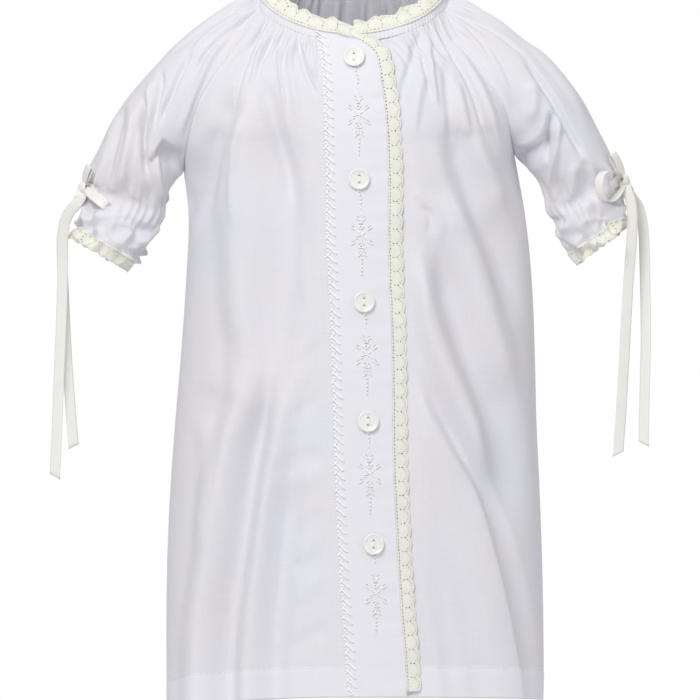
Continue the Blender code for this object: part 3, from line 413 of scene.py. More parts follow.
# Folds and creases: height (under 0 is a trough), width of the flank to the left and to
# the right on the way along it, and its line in x and z
FRONT_CREASES = (
    (7.0, 18.0, 25.2, (-61, -51), (-65, -75), (-68, -105), (-68, -135), (-67, -165),
     (-65, -195), (-61, -219), (-61, -243), (-64, -267)),
    (-7.4, 25.2, 19.2, (-54, -63), (-46, -93), (-40, -123), (-38, -153), (-42, -183),
     (-47, -210), (-50, -237), (-54, -261)),
    (-2.7, 7.8, 9.0, (-61, -147), (-57, -189), (-53, -216), (-52, -237), (-56, -261),
     (-63, -285)),
    (8.4, 15.6, 13.8, (-60, -219), (-64, -246), (-71, -273), (-78, -303), (-83, -339),
     (-89, -381), (-91, -429), (-91, -549), (-91, -669)),
    (-9.4, 13.8, 15.6, (-50, -228), (-55, -255), (-61, -282), (-65, -309), (-70, -345),
     (-76, -381), (-78, -429), (-78, -549), (-78, -669)),
    (6.8, 15.6, 13.8, (-31, -207), (-40, -249), (-47, -285), (-52, -321), (-58, -369),
     (-61, -429), (-61, -549), (-61, -669)),
    (-7.0, 12.6, 15.6, (-36, -279), (-40, -309), (-44, -345), (-48, -387), (-49, -429),
     (-49, -549), (-49, -669)),
    (1.1, 13.0, 27.0, (-93, -230), (-83, -236), (-72, -240), (-61, -239)),
    (-0.8, 17.0, 14.0, (-93, -247), (-82, -253), (-72, -256), (-60, -251)),
    (2.0, 9.0, 10.2, (-88, -255), (-86, -285), (-88, -315), (-89, -345)),
    (-6.5, 15.0, 11.0, (-68, -60), (-74, -81), (-82, -102), (-89, -126), (-93, -150)),
    (1.5, 4.2, 3.6, (-67, -75), (-68, -99), (-69, -123), (-68, -150)),
    (-4.2, 7.2, 8.4, (-53, -54), (-50, -72), (-45, -93), (-40, -114), (-38, -138)),
    (1.8, 8.4, 7.2, (-28, -99), (-29, -135), (-31, -165), (-29, -195)),
    (-1.9, 3.0, 2.1, (-54, -22), (-60, -38), (-65, -51), (-68, -64), (-71, -76)),
    (1.6, 2.2, 2.0, (-46, -27), (-44, -39), (-43, -54), (-41, -68), (-40, -80)),
    (-2.0, 3.0, 1.5, (-34, -29), (-31, -39), (-28, -51), (-23, -62), (-16, -73)),
    (1.4, 1.8, 6.0, (-31, -33), (-27, -44), (-22, -55), (-14, -64)),
    (-1.8, 2.4, 2.0, (-46, -26), (-50, -37), (-55, -47), (-58, -58)),
    (1.6, 2.4, 2.4, (-50, -27), (-54, -38), (-58, -51), (-61, -64)),
    (1.6, 3.6, 4.2, (-38, -31), (-37, -45), (-35, -63), (-31, -87)),
    (-0.7, 8.0, 6.0, (-38, -230), (-28, -224), (-17, -214), (-11, -205)),
    (-0.8, 8.0, 6.0, (-41, -262), (-30, -255), (-18, -247), (-10, -239)),
    (-1.1, 11.0, 8.0, (-53, -301), (-42, -289), (-30, -283), (-18, -282), (-8, -275)),
    (0.8, 9.0, 9.0, (-41, -301), (-26, -296), (-10, -289)),
    (-0.8, 9.0, 6.5, (-40, -333), (-28, -325), (-17, -316), (-7, -308)),
    (-0.8, 7.5, 6.0, (-37, -352), (-24, -344), (-7, -333)),
    (0.8, 9.0, 8.0, (-37, -368), (-23, -359), (-8, -351)),
    (-0.9, 10.0, 7.0, (-42, -403), (-29, -392), (-17, -386), (-4, -377)),
    (5.8, 26.4, 9.0, (30, -229), (41, -249), (53, -271), (64, -290), (73, -309),
     (81, -336), (89, -369), (95, -405), (99, -441), (99, -549), (99, -669)),
    (-5.8, 8.4, 11.0, (35, -224), (46, -245), (58, -267), (69, -286), (79, -304),
     (88, -333), (97, -369), (104, -405), (107, -441), (107, -549), (107, -669)),
    (7.4, 11.0, 15.6, (37, -151), (41, -183), (47, -210), (56, -232), (66, -254),
     (75, -277), (82, -301)),
    (-9.2, 15.6, 19.2, (50, -144), (56, -174), (64, -200), (73, -225), (82, -249),
     (89, -276), (94, -306), (97, -345)),
    (4.5, 15.6, 14.4, (56, -117), (64, -144), (73, -171), (82, -201), (89, -228),
     (94, -255)),
    (-7.6, 14.4, 13.2, (59, -75), (65, -102), (74, -128), (85, -152), (94, -176),
     (100, -207)),
    (3.2, 9.6, 9.0, (70, -82), (77, -102), (85, -120), (90, -139)),
    (-1.2, 9.0, 9.0, (47, -345), (55, -381), (60, -429), (60, -549), (60, -669)),
    (-1.2, 3.4, 3.4, (40, -134), (46, -137), (47, -143), (45, -153)),
    (1.2, 4.4, 4.4, (35, -119), (41, -127), (49, -134), (53, -146), (51, -160)),
    (-2.2, 2.4, 1.3, (50, -26), (56, -36), (62, -45), (68, -55), (73, -67), (77, -80),
     (81, -97)),
    (2.4, 1.7, 5.4, (53, -26), (60, -37), (67, -46), (74, -57), (80, -70), (85, -84),
     (90, -100)),
    (2.2, 3.3, 2.4, (44, -29), (47, -44), (49, -60), (52, -77)),
    (-1.8, 2.4, 1.8, (40, -27), (42, -41), (45, -56), (48, -69)),
    (-2.4, 4.2, 4.8, (40, -27), (38, -38), (35, -50), (31, -62), (30, -78)),
    (2.0, 5.4, 4.8, (43, -49), (41, -62), (38, -76), (35, -96)),
    (-2.0, 4.2, 4.8, (56, -45), (57, -63), (59, -81), (61, -99)),
    (2.2, 4.2, 4.2, (62, -57), (65, -69), (68, -82), (70, -94)),
)
RIGHT_GATHERS = 9
NECK_GATHER_DEPTH = 1.35
WALL = 0.5


def ring(angle, level):
    """Points of a neck ring, angles in degrees from centre front towards +X."""
    half, depth, front_depth, side, drop, front_drop = NECK_RINGS[level]
    ahead = np.cos(np.radians(angle))
    return np.stack((half * np.sin(np.radians(angle)),
                     -depth * ahead - front_depth * ahead**2,
                     side - drop * ahead - front_drop * ahead**2), -1)


def sleeve_section(side):
    """Sections of one sleeve: t runs from the front seam (-1) to the back seam (1)."""
    def section(row, t):
        if row <= 0:
            reach = np.where(t < 0, 90 - FRONT_RAGLAN, BACK_RAGLAN - 90)
            return ring(side * (90 + reach * t), -row)
        outer_x, outer_z, seam_x, seam_z = SLEEVES[side][row - 1]
        depth, half_angle, rise = SLEEVE_ROUND[row - 1]
        arc = radians(half_angle)
        share = (1 - np.cos(arc * t)) / (1 - cos(arc))
        lift = rise * np.sin(arc * t) / sin(arc)
        return np.stack((side * (outer_x + (seam_x - outer_x) * share),
                         depth * np.sin(arc * t),
                         outer_z + (seam_z - outer_z) * share + lift), -1)
    return section


def paired(*values):
    """Numbers and arrays as float arrays of one shape."""
    return np.broadcast_arrays(*(np.asarray(value, float) for value in values))


def loft(section, first, last):
    """The surface that runs smoothly through a row of sections."""
    def surface(t, v):
        t, v = paired(t, v)
        rows = np.clip(np.floor(v), first, last - 1).astype(int)
        points = np.empty(t.shape + (3,))
        for row in np.unique(rows):
            here = rows == row
            spot = t[here]
            b = section(row, spot)
            c = section(row + 1, spot)
            a = section(row - 1, spot) if row > first else b * 2 - c
            d = section(row + 2, spot) if row + 1 < last else c * 2 - b
            points[here] = through(a, b, c, d, (v[here] - row)[:, None])
        return points
    return surface


def body_section(face):
    """Sections of the fronts (-1) or the back (1): t is -1 at the -X edge, 1 at the +X."""
    at_neck = FRONT_RAGLAN if face < 0 else 180 - BACK_RAGLAN

    def section(row, t):
        arc = radians(at_neck + (90 - at_neck) * min(max(row, 0) / UNDERARM, 1))
        if row <= 0:
            turn = degrees(arc) * t
            return ring(turn if face < 0 else 180 - turn, -row)
        if row <= UNDERARM:
            front_y, front_z, back_y, back_z = CENTRES[row - 1]
            centre = (0, front_y, front_z) if face < 0 else (0, back_y, back_z)
            rims = [sleeve_section(side)(row, np.array(float(face))) for side in (-1, 1)]
        else:
            sizes = SKIRT[row - UNDERARM - 1]
            middle, right_x, right_z, left_x, left_z, front, rear = sizes
            centre = (0, -front if face < 0 else rear, middle)
            rims = [np.array((right_x, 0, right_z)), np.array((left_x, 0, left_z))]
        rim = np.where((t > 0)[:, None], rims[1], rims[0])
        share = ((1 - np.cos(arc * t)) / (1 - cos(arc)))[:, None]
        points = np.array(centre) + (rim - np.array(centre)) * share
        points[:, 0] = rim[:, 0] * np.abs(np.sin(arc * t)) / sin(arc)
        return points
    return section


SEAMS = {side: loft(sleeve_section(side), -2, UNDERARM) for side in (-1, 1)}
SIDES = {side: loft(lambda row, t, side=side: body_section(-1)(row, t * 0 + side),
                    UNDERARM, HEM_ROW) for side in (-1, 1)}


def seam_beside(side, v, face):
    """The raglan or side seam beside each row."""
    points = np.empty(v.shape + (3,))
    for one in (-1, 1):
        above = (side == one) & (v <= UNDERARM)
        below = (side == one) & (v > UNDERARM)
        points[above] = SEAMS[one](face, v[above])
        points[below] = SIDES[one](0, v[below])
    return points


def body_surface(face):
    """The smooth surface of the fronts or of the back, exact along its seams."""
    surface = loft(body_section(face), -2, HEM_ROW)

    def spread(t, v):
        near = 1.7 * np.exp(-((v - UNDERARM) / 2.0)**2)
        return surface(t, v) * 0.4 + (surface(t, v - near) + surface(t, v + near)) * 0.3

    def fitted(t, v):
        t, v = paired(t, v)
        side = np.where(t > 0, 1, -1)
        pull = seam_beside(side, v, face) - spread(side, v)
        return spread(t, v) + pull * soft_step(0.6, 1.0, np.abs(t))[..., None]
    return fitted


FRONT = body_surface(-1)


def outward(surface, t, v, turn=1):
    """Unit normals; turn is 1 where t runs rightwards seen from outside."""
    t, v = paired(t, v)
    across = surface(np.minimum(t + 0.01, 1), v) - surface(np.maximum(t - 0.01, -1), v)
    down = surface(t, v + 0.01) - surface(t, v - 0.01)
    return unit(np.cross(down, across)) * turn


def graph(table, z):
    """The x of a table of (z, x) rows at heights z, on a smooth line."""
    heights, across = np.array(table, float).T
    last = len(table) - 1
    row = np.searchsorted(-heights[1:last], -np.asarray(z, float))
    before = np.maximum(row - 1, 0)
    after = np.minimum(row + 2, last)
    span = heights[row + 1] - heights[row]
    s = np.clip((z - heights[row]) / span, 0, 1)
    into = (across[row + 1] - across[before]) / (heights[row + 1] - heights[before]) * span
    out = (across[after] - across[row]) / (heights[after] - heights[row]) * span
    return (across[row] * (2 * s**3 - 3 * s**2 + 1) + into * (s**3 - 2 * s**2 + s)
            + across[row + 1] * (3 * s**2 - 2 * s**3) + out * (s**3 - s**2))


def along_front(x, v):
    """The t of the front's surface at distance x from the middle, on rows v."""
    x, v = paired(x, v)
    side = np.where(x > 0, 1, -1)
    rim = seam_beside(side, v, -1)
    arc = np.radians(FRONT_RAGLAN + (90 - FRONT_RAGLAN) * np.clip(v / UNDERARM, 0, 1))
    share = np.abs(x) * np.sin(arc) / np.abs(rim[..., 0])
    return side * np.arcsin(np.minimum(share, 1)) / arc


def line_t(line, v):
    """The t at which rows v meet a line of the placket."""
    x = graph(line, FRONT(0, v)[..., 2])
    for _ in range(8):
        x = graph(line, FRONT(along_front(x, v), v)[..., 2])
    return along_front(x, v)


def crease_height(creases, points):
    """Height of long folds and creases at points of the cloth."""
    spots = points[..., [0, 2]]
    total = np.zeros(points.shape[:-1])
    for depth, left, right, *line in creases:
        line = smooth_path(line, 3 * len(line))
        reach = max(left, right)
        near = ((spots > line.min(0) - reach) & (spots < line.max(0) + reach)).all(-1)
        here = spots[near]
        nearest = np.full(len(here), 1e6)
        height = np.zeros(len(here))
        for number, (start, end) in enumerate(zip(line, line[1:])):
            run = end - start
            part = np.clip((here - start) @ run / (run @ run), 0, 1)
            off = here - start - part[:, None] * run
            away = np.hypot(off[:, 0], off[:, 1])
            flank = np.where(run[0] * off[:, 1] > run[1] * off[:, 0], right, left)
            place = (number + part) / (len(line) - 1)
            taper = soft_step(0, 0.22, place) * (1 - soft_step(0.74, 1, place))
            swell = depth * taper * (1 + np.cos(pi * np.minimum(away / flank, 1))) / 2
            height = np.where(away < nearest, swell, height)
            nearest = np.minimum(away, nearest)
        total[near] += height
    return total


def gather_height(count, share, v, depth):
    """Height of the neck's gathers; share runs from 0 to 1 across the piece."""
    number = np.floor(share * count)
    length = 2.6 + 1.1 * np.sin(2.3 * number + 0.7)
    size = 0.75 + 0.25 * np.sin(1.7 * number)
    rise = soft_step(0.0, 0.6, v) * (1 - soft_step(0.8, length, v))
    height = depth * size * rise * np.sin(tau * share * count)
    for more, reach, deep in ((2.4, 2.2, 0.42), (3.7, 1.5, 0.26)):
        swing = share * count * more + 0.35 * np.sin(tau * share * count * 0.37)
        patch = 0.65 + 0.35 * np.sin(tau * share * count * 0.61 + more)
        fine = soft_step(0.0, 0.25, v) * (1 - soft_step(0.5, reach, v))
        height += depth * deep * patch * fine * np.sin(tau * swing)
    return height


def unevenness(points, wave, seed, stretch=(1, 1, 1)):
    """Soft irregular rises and falls of cloth, mostly between -0.6 and 0.6."""
    total = np.zeros(points.shape[:-1])
    spread = points * np.array(stretch, float) * (tau / wave)
    for turn in range(6):
        angle = seed * 1.7 + turn * 2.4
        way = np.array((cos(angle), 0.7 * sin(angle * 1.3 + 1), sin(angle)))
        bend = 0.9 * np.sin(spread @ way[[2, 0, 1]] * 0.43 + turn)
        total += np.sin(spread @ way * (0.75 + 0.13 * turn) + bend + seed * (turn + 1))
    return total / 4.2


def body_height(points, t, v, share, gathers, creases, seed):
    """Height of a front or the back over its smooth surface."""
    height = gather_height(gathers, share, v, NECK_GATHER_DEPTH)
    height += crease_height(creases, points)
    skirt = soft_step(2.0, 9.0, v)
    height += 0.45 * skirt * unevenness(points, 46, seed, (1, 1, 0.22))
    height += 0.16 * unevenness(points, 19, seed + 3, (1, 1, 0.45))
    height *= 1 - soft_step(0.9, 1.0, np.abs(t))
    return height + felled_seam(t, v, 105) + hem_height(points, v)


def felled_seam(t, v, width):
    """The seam's turned edge stands up in a fine ridge beside each side of a piece."""
    from_seam = (1 - np.abs(t)) * width
    return 0.4 * np.exp(-(from_seam - 1.9)**2) * soft_step(0, 0.5, v)


def hem_height(points, v):
    """The turned-up hem stands a little proud and puckers at its stitches."""
    beside = np.exp(-((v - HEM_STITCH) / 0.16)**2)
    pucker = 0.16 * beside * unevenness(points, 5.5, 2, (1, 1, 0.2))
    groove = 0.3 * np.exp(-((v - HEM_STITCH) / 0.045)**2)
    return 0.3 * hem_layers(v) + pucker - groove


def hem_layers(v):
    """1 where the hem doubles the cloth, 0 above it."""
    return soft_step(HEM_STITCH - 0.03, HEM_STITCH + 0.03, v)


def node_group(name, inputs, outputs):
    """A node group with its two ends; its outputs are all single values."""
    group = bpy.data.node_groups.new(name, "ShaderNodeTree")
    for key, kind in inputs.items():
        group.interface.new_socket(key, in_out="INPUT", socket_type="NodeSocket" + kind)
    for key in outputs:
        group.interface.new_socket(key, in_out="OUTPUT", socket_type="NodeSocketFloat")
    return group, group.nodes.new("NodeGroupInput"), group.nodes.new("NodeGroupOutput")


weave, given, made = node_group("plain_weave", {"Cloth": "Vector", "Pitch": "Float"},
                                ("Height", "Slubs"))
cloth = given.outputs["Cloth"]
apart = add(weave, "SeparateXYZ", {"Vector": cloth})
threads = []
for axis in ("X", "Y"):
    turns = calc(weave, "DIVIDE", apart.outputs[axis], given.outputs["Pitch"])
    threads.append(calc(weave, "SINE", calc(weave, "MULTIPLY", turns, tau)))
over = calc(weave, "MULTIPLY", *threads)
yarns = []
for stretch in ((1.6, 0.05, 1.0), (0.05, 1.6, 1.0)):
    drawn = add(weave, "Mapping", {"Vector": cloth, "Scale": stretch})
    yarns.append(noise(weave, drawn.outputs[0], 1.0, Detail=3.0))
connect(weave, made, Height=calc(weave, "MULTIPLY_ADD", over, 0.5, 0.5),
        Slubs=calc(weave, "MULTIPLY", *yarns))

cotton, tree, shader = finish_of("white_batiste", 0.88, Sheen_Weight=0.12,
                                 Sheen_Roughness=0.5, Specular_IOR_Level=0.25)
place = add(tree, "TexCoord").outputs["Object"]
cloth = add(tree, "UVMap", uv_map="cloth").outputs[0]
threads = add(tree, "Group", {"Cloth": cloth, "Pitch": 0.5}, node_tree=weave)
tint = ramp(tree, noise(tree, place, 14.0, Detail=2.0),
            (0.36, (0.815, 0.812, 0.862)), (0.64, (0.838, 0.815, 0.842)))
yarn = remap(tree, threads.outputs["Slubs"], 0.12, 0.38, 0.975, 1.015)
single = calc(tree, "MULTIPLY", tint, yarn, kind="VectorMath")
layers = add(tree, "Attribute", attribute_name="doubled")
colour = mix(tree, layers.outputs["Fac"], single, (0.865, 0.855, 0.905, 1))
rumple = noise(tree, place, 210.0, Detail=3.0, Roughness=0.55)
soft = relief(tree, rumple, 0.22, 0.0006)
fine = relief(tree, threads.outputs["Height"], 0.16, 0.00006, Normal=soft)
connect(tree, shader, Base_Color=colour, Normal=fine)


def rows_between(*stops):
    """Rows of points from stop to stop; each stop is its row and the count up to it."""
    parts = [np.linspace(first, last, count)[:-1]
             for (first, _), (last, count) in zip(stops, stops[1:])]
    return np.concatenate(parts + [[float(stops[-1][0])]])[:, None]


BODY_ROWS = rows_between((0, 0), (UNDERARM, 74), (HEM_STITCH, 148), (HEM_ROW, 15))

share = np.linspace(0, 1, 128)[None, :]
t = -1 + (line_t(FEATHER_LINE, BODY_ROWS) + 1) * share
points = FRONT(t, BODY_ROWS)
height = body_height(points, t, BODY_ROWS, share, RIGHT_GATHERS, FRONT_CREASES, 1.0)
height *= 1 - soft_step(0.90, 0.965, share)
points = points + outward(FRONT, t, BODY_ROWS) * height[..., None]
front_right = lay_sheet("right_front_cloth", points, cotton, WALL,
                        doubled=hem_layers(BODY_ROWS + share * 0))
finish_piece(front_right, "white_cotton", "front_right")

# Placket, the right front's buttoned band.
# The same batiste, doubled, so it is whiter and nearly smooth. Its inner edge is sewn
# under the feather stitch, its top corner is rounded and lace edges its outer side.
FRONT_EDGE = (
    (-27.6, -10.0), (-31.5, 0.0), (-36.6, 9.2), (-43.0, 14.6), (-58.8, 17.8), (-77.4, 20.4),
    (-110.0, 21.9), (-171.0, 22.4), (-220.0, 24.2), (-283.0, 24.9), (-333.0, 27.0),
    (-373.0, 29.4), (-409.0, 32.4), (-427.0, 32.9),
)
CORNER_Z = -43.0
PLACKET_PROUD = 0.45


def past_edge(points):
    """How far points lie past the placket's edge, taken straight up over its corner."""
    return points[..., 0] - graph(FRONT_EDGE, np.minimum(points[..., 2], CORNER_Z))


def placket_height(points):
    """Low wrinkles of the doubled band, mostly across it and strongest at the lace."""
    at_lace = soft_step(24.0, 2.0, -past_edge(points)) * 0.75 + 0.25
    across = unevenness(points, 13, 5, (0.5, 0.3, 1)) * 0.34
    from_seam = points[..., 0] - graph(FEATHER_LINE, points[..., 2])
    free = soft_step(2.0, 9.0, from_seam)
    return PLACKET_PROUD + free * (at_lace * across + 0.2 * unevenness(points, 37, 8))


rows = np.concatenate((np.linspace(-0.96, 0, 9)[:-1, None], BODY_ROWS))
start = line_t(FEATHER_LINE, rows) - 0.006
end = line_t(FRONT_EDGE, rows)
share = np.linspace(0, 1, 34)[None, :]
t = start + (end - start) * share
points = FRONT(t, rows)
height = placket_height(points) * (0.35 + 0.65 * soft_step(0, 0.04, share))
points = points + outward(FRONT, t, rows) * height[..., None]
placket = lay_sheet("placket_cloth", points, cotton, 0.7, doubled=rows * 0 + share * 0 + 1)
finish_piece(placket, "white_cotton", "placket")

# Left front, with its underlap.
# The wearer's left half, of the same batiste, is gathered like the right one. It sinks
# under the placket and its lace, where nothing of it stands up, and its hidden edge lies
# behind the buttons.
LEFT_GATHERS = 7
UNDERLAP_DEPTH = 1.8
UNDERLAP_EDGE_X = -6.0


def underlap(points):
    """How far the cloth sinks to pass under the placket and its lace."""
    return UNDERLAP_DEPTH * (1 - soft_step(3.0, 20.0, past_edge(points)))


hidden = along_front(UNDERLAP_EDGE_X, BODY_ROWS)
start = line_t(FRONT_EDGE, BODY_ROWS)
under = np.linspace(0, 1, 15)[None, :-1]
share = np.linspace(0, 1, 118)[None, :]
t = np.hstack((hidden + (start - hidden) * under, start + (1 - start) * share))
share = np.hstack((under * 0, share))
points = FRONT(t, BODY_ROWS)
height = body_height(points, t, BODY_ROWS, share, LEFT_GATHERS, FRONT_CREASES, 2.0)
height *= soft_step(-0.02, 0.04, share)
free = soft_step(9.0, 20.0, past_edge(points))
height = np.minimum(height, 0.0) * (1 - free) + height * free
height -= underlap(points)
points = points + outward(FRONT, t, BODY_ROWS) * height[..., None]
front_left = lay_sheet("left_front_cloth", points, cotton, WALL,
                       doubled=hem_layers(BODY_ROWS + t * 0))
finish_piece(front_left, "white_cotton", "front_left")

# Back.
# One piece of the same batiste from side seam to side seam, gathered into the binding,
# with the same deep hem. Its long folds are like those in front.
BACK = body_surface(1)
BACK_GATHERS = 12
# The front's folds, mirrored and lower, and these in the middle of the back
BACK_CREASES = (
    (-3.4, 9.0, 8.0, (-22, -50), (-28, -110), (-33, -180), (-34, -260)),
    (-3.0, 8.0, 9.0, (24, -50), (29, -110), (31, -170), (30, -240)),
    (3.0, 10.0, 10.0, (2, -80), (1, -150), (-1, -240), (-4, -340)),
    (2.8, 9.0, 8.0, (-16, -270), (-18, -340), (-21, -400), (-22, -520), (-22, -640)),
    (-3.2, 9.0, 9.0, (18, -250), (22, -330), (24, -400), (24, -520), (24, -640)),
    (-1.6, 2.0, 1.6, (-33, -6), (-36, -24), (-38, -50), (-40, -76)),
    (-1.5, 1.6, 2.0, (-20, -2), (-22, -20), (-23, -40), (-24, -62)),
    (-1.7, 2.2, 1.8, (-8, -1), (-9, -30), (-10, -60), (-11, -92)),
    (-1.6, 1.8, 2.2, (7, -1), (7, -26), (8, -50), (8, -74)),
    (-1.5, 1.8, 1.8, (19, -3), (20, -30), (21, -56), (20, -84)),
    (-1.7, 2.2, 1.8, (31, -6), (34, -22), (36, -42), (38, -60)),
)


def back_height(points, t, v, share):
    """Height of the back over its smooth surface."""
    height = body_height(points, t, v, share, BACK_GATHERS, BACK_CREASES, 4.0)
    mirrored = points * (-1, 1, 1) + (3, 0, 6)
    reach = soft_step(30, 44, np.abs(points[..., 0])) * (1 - soft_step(0.9, 1, np.abs(t)))
    return height + 0.75 * crease_height(FRONT_CREASES, mirrored) * reach


share = np.linspace(0, 1, 212)[None, :]
t = 1 - 2 * share + BODY_ROWS * 0
points = BACK(t, BODY_ROWS)
height = back_height(points, t, BODY_ROWS, share)
points = points + outward(BACK, t, BODY_ROWS, -1) * height[..., None]
back = lay_sheet("back_cloth", points, cotton, WALL, doubled=hem_layers(BODY_ROWS + t * 0))
finish_piece(back, "white_cotton", "back")

# Sleeves.
# Two raglan sleeves of the same batiste, gathered at the neck and drawn in by the ribbon
# above a crumpled ruffle. The seam runs underneath.
SLEEVE_GATHERS = 8
CUFF_GATHERS = 11
CUFF_GATHER_DEPTH = 1.2
RUFFLE_DEPTH = 1.5
# Crumples of the ruffle: their size, height, middle and variant
CRUMPLES = ((33, 9.5, 0.3, 3.0), (17, 4.4, 0.28, 6.0))
# How far the sleeve is set off from the body under the arm
UNDERARM_CLEAR = 0.55
# Folds and creases of each sleeve as it is seen from the front, like those of the front
SLEEVE_CREASES = {
    -1: (
        (-2.1, 2.5, 1.7, (-58, -14), (-73, -17), (-88, -25), (-100, -34), (-109, -43)),
        (1.8, 2.5, 2.5, (-60, -17), (-76, -23), (-88, -32), (-97, -41)),
        (-2.3, 2.5, 1.7, (-60, -20), (-74, -28), (-84, -37), (-90, -45), (-94, -56)),
        (-3.4, 3.4, 2.5, (-95, -37), (-102, -50), (-107, -63), (-112, -75), (-116, -88)),
        (2.3, 3.4, 3.4, (-68, -25), (-83, -41), (-92, -59), (-100, -79), (-104, -93)),
        (-3.6, 2.5, 3.4, (-114, -49), (-116, -63), (-118, -76), (-121, -92)),
        (2.9, 3.4, 3.4, (-119, -56), (-122, -68), (-121, -80), (-121, -93)),
        (-6.1, 3.4, 3.4, (-123, -65), (-125, -80), (-125, -93), (-124, -105),
         (-121, -121)),
        (3.6, 5.0, 4.2, (-130, -71), (-133, -92), (-137, -111), (-140, -129)),
        (-3.1, 5.0, 4.2, (-136, -68), (-141, -87), (-145, -105), (-149, -120)),
        (-8.2, 20.2, 4.2, (-115, -95), (-108, -100), (-98, -104)),
        (3.4, 3.4, 4.2, (-115, -129), (-116, -114), (-115, -99)),
    ),
    1: (
        (-1.8, 2.1, 1.7, (58, -15), (77, -23), (94, -34), (106, -45)),
        (-3.8, 4.2, 2.9, (100, -39), (113, -57), (122, -71), (128, -83), (136, -97),
         (139, -105)),
        (1.8, 4.2, 4.2, (60, -11), (83, -20), (104, -33), (120, -49), (134, -69),
         (144, -89)),
        (1.8, 4.2, 3.4, (56, -20), (71, -31), (84, -45), (92, -61), (98, -75)),
        (-5.0, 3.4, 3.4, (121, -75), (118, -86), (116, -96), (116, -108)),
        (3.4, 2.9, 2.9, (125, -76), (123, -93), (121, -108), (118, -126)),
        (-6.0, 12.6, 4.2, (95, -101), (104, -100), (113, -95), (119, -85)),
        (-1.4, 2.1, 2.1, (59, -19), (71, -28), (80, -39), (87, -52), (92, -68)),
        (2.4, 6.7, 5.9, (107, -57), (109, -69), (106, -84)),
        (2.6, 5.0, 5.0, (134, -105), (132, -120), (130, -134)),
        (-2.2, 4.2, 3.4, (139, -104), (142, -117), (139, -132)),
    ),
}


def sleeve_surface(side):
    """The smooth surface of one sleeve, exact along its seams."""
    surface = loft(sleeve_section(side), -2, LACE_ROW)

    def fitted(t, v):
        t, v = paired(t, v)
        end = np.where(t > 0, 1, -1)
        row = np.minimum(v, UNDERARM)
        pull = SEAMS[side](end, row) - surface(end, row)
        near = soft_step(0.55, 1.0, np.abs(t)) * (v <= UNDERARM)
        return surface(t, v) + pull * near[..., None]
    return fitted


SLEEVE = {side: sleeve_surface(side) for side in (-1, 1)}


def sleeve_points(side, t, v):
    """Points of a sleeve with its gathers, folds, creases and ruffle."""
    surface = SLEEVE[side]
    t, v = paired(t, v)
    share = (t + 1) / 2
    points = surface(t, v)
    height = gather_height(SLEEVE_GATHERS, share, v, NECK_GATHER_DEPTH * 0.9)
    creases = SLEEVE_CREASES[side]
    in_front = 1 - soft_step(-0.16, 0.0, t)
    height += crease_height(creases, points) * in_front
    height += 0.8 * crease_height(creases, points + (3 * side, 0, 5)) * (1 - in_front)
    above = soft_step(8.4, 10.2, v) * (1 - soft_step(10.2, 10.7, v)) * CUFF_GATHER_DEPTH
    under = 0.35 * soft_step(10.2, 10.7, v) * (1 - soft_step(11.3, 12.0, v))
    below = soft_step(11.3, 14.4, v) * RUFFLE_DEPTH
    gathers = np.sin(tau * share * CUFF_GATHERS + 0.5 * np.sin(tau * share * 3))
    height += gathers * (above + under + below)
    pinch = soft_step(9.0, 10.6, v) * (1 - soft_step(11.6, 13.4, v))
    height += 0.5 * pinch * np.sin(tau * share * 27 + 1.6 * np.sin(tau * share * 5))
    crush = soft_step(11.4, 12.6, v)
    for wave, deep, level, seed in CRUMPLES:
        height += deep * crush * (level - np.abs(unevenness(points, wave, seed + side)))
    height += 0.35 * soft_step(1, 4, v) * unevenness(points, 34, 7.0 + side)
    height *= 1 - soft_step(0.93, 1.0, np.abs(t))
    height += felled_seam(t, v, 70)
    low = soft_step(5.7, 7.0, v) * soft_step(0.6, 1.0, np.abs(t))
    clear = np.array((side * UNDERARM_CLEAR, 0, UNDERARM_CLEAR / 2)) * low[..., None]
    return points + outward(surface, t, v, side) * height[..., None] + clear


SLEEVE_ROWS = rows_between((0, 0), (UNDERARM, 66), (10, 30), (LACE_ROW - 1, 46))
sleeves = {}
for side, word in ((-1, "right"), (1, "left")):
    share = np.linspace(0, 1, 165)[None, :]
    points = sleeve_points(side, side * (2 * share - 1), SLEEVE_ROWS)
    sleeves[word] = lay_sheet(f"{word}_sleeve_cloth", points, cotton, WALL)
    finish_piece(sleeves[word], "white_cotton", f"sleeve_{word}")

# The raglan and side seams are felled, so each stands up as a fine cord
felled = np.linspace(0.02, UNDERARM, 80)
cords = [SEAMS[side](face, felled) for side in (-1, 1) for face in (-1, 1)]
cords += [SIDES[side](0, np.linspace(UNDERARM, HEM_ROW - 0.02, 80)) for side in (-1, 1)]

# Neck binding.
# A narrow bias strip of the batiste over the gathered edge. It stops where the placket's
# rounded corner laps over it.
BINDING_START = -5.0


def right_of_middle(x):
    """The angle at which the middle neck ring is x from the middle line."""
    return 360 - degrees(asin(x / NECK_RINGS[1][0]))


BINDING_END = right_of_middle(20.4)


def neck_points(angle, level, share):
    """Points between two neck rings, sunk where they pass under the placket."""
    share = np.asarray(share, float)[..., None]
    points = ring(angle, level) * (1 - share) + ring(angle, level + 1) * share
    inward = unit(points * (-1, -1, 0))
    sink = np.where(angle < 90, underlap(points), 0)
    return points + inward * sink[..., None]


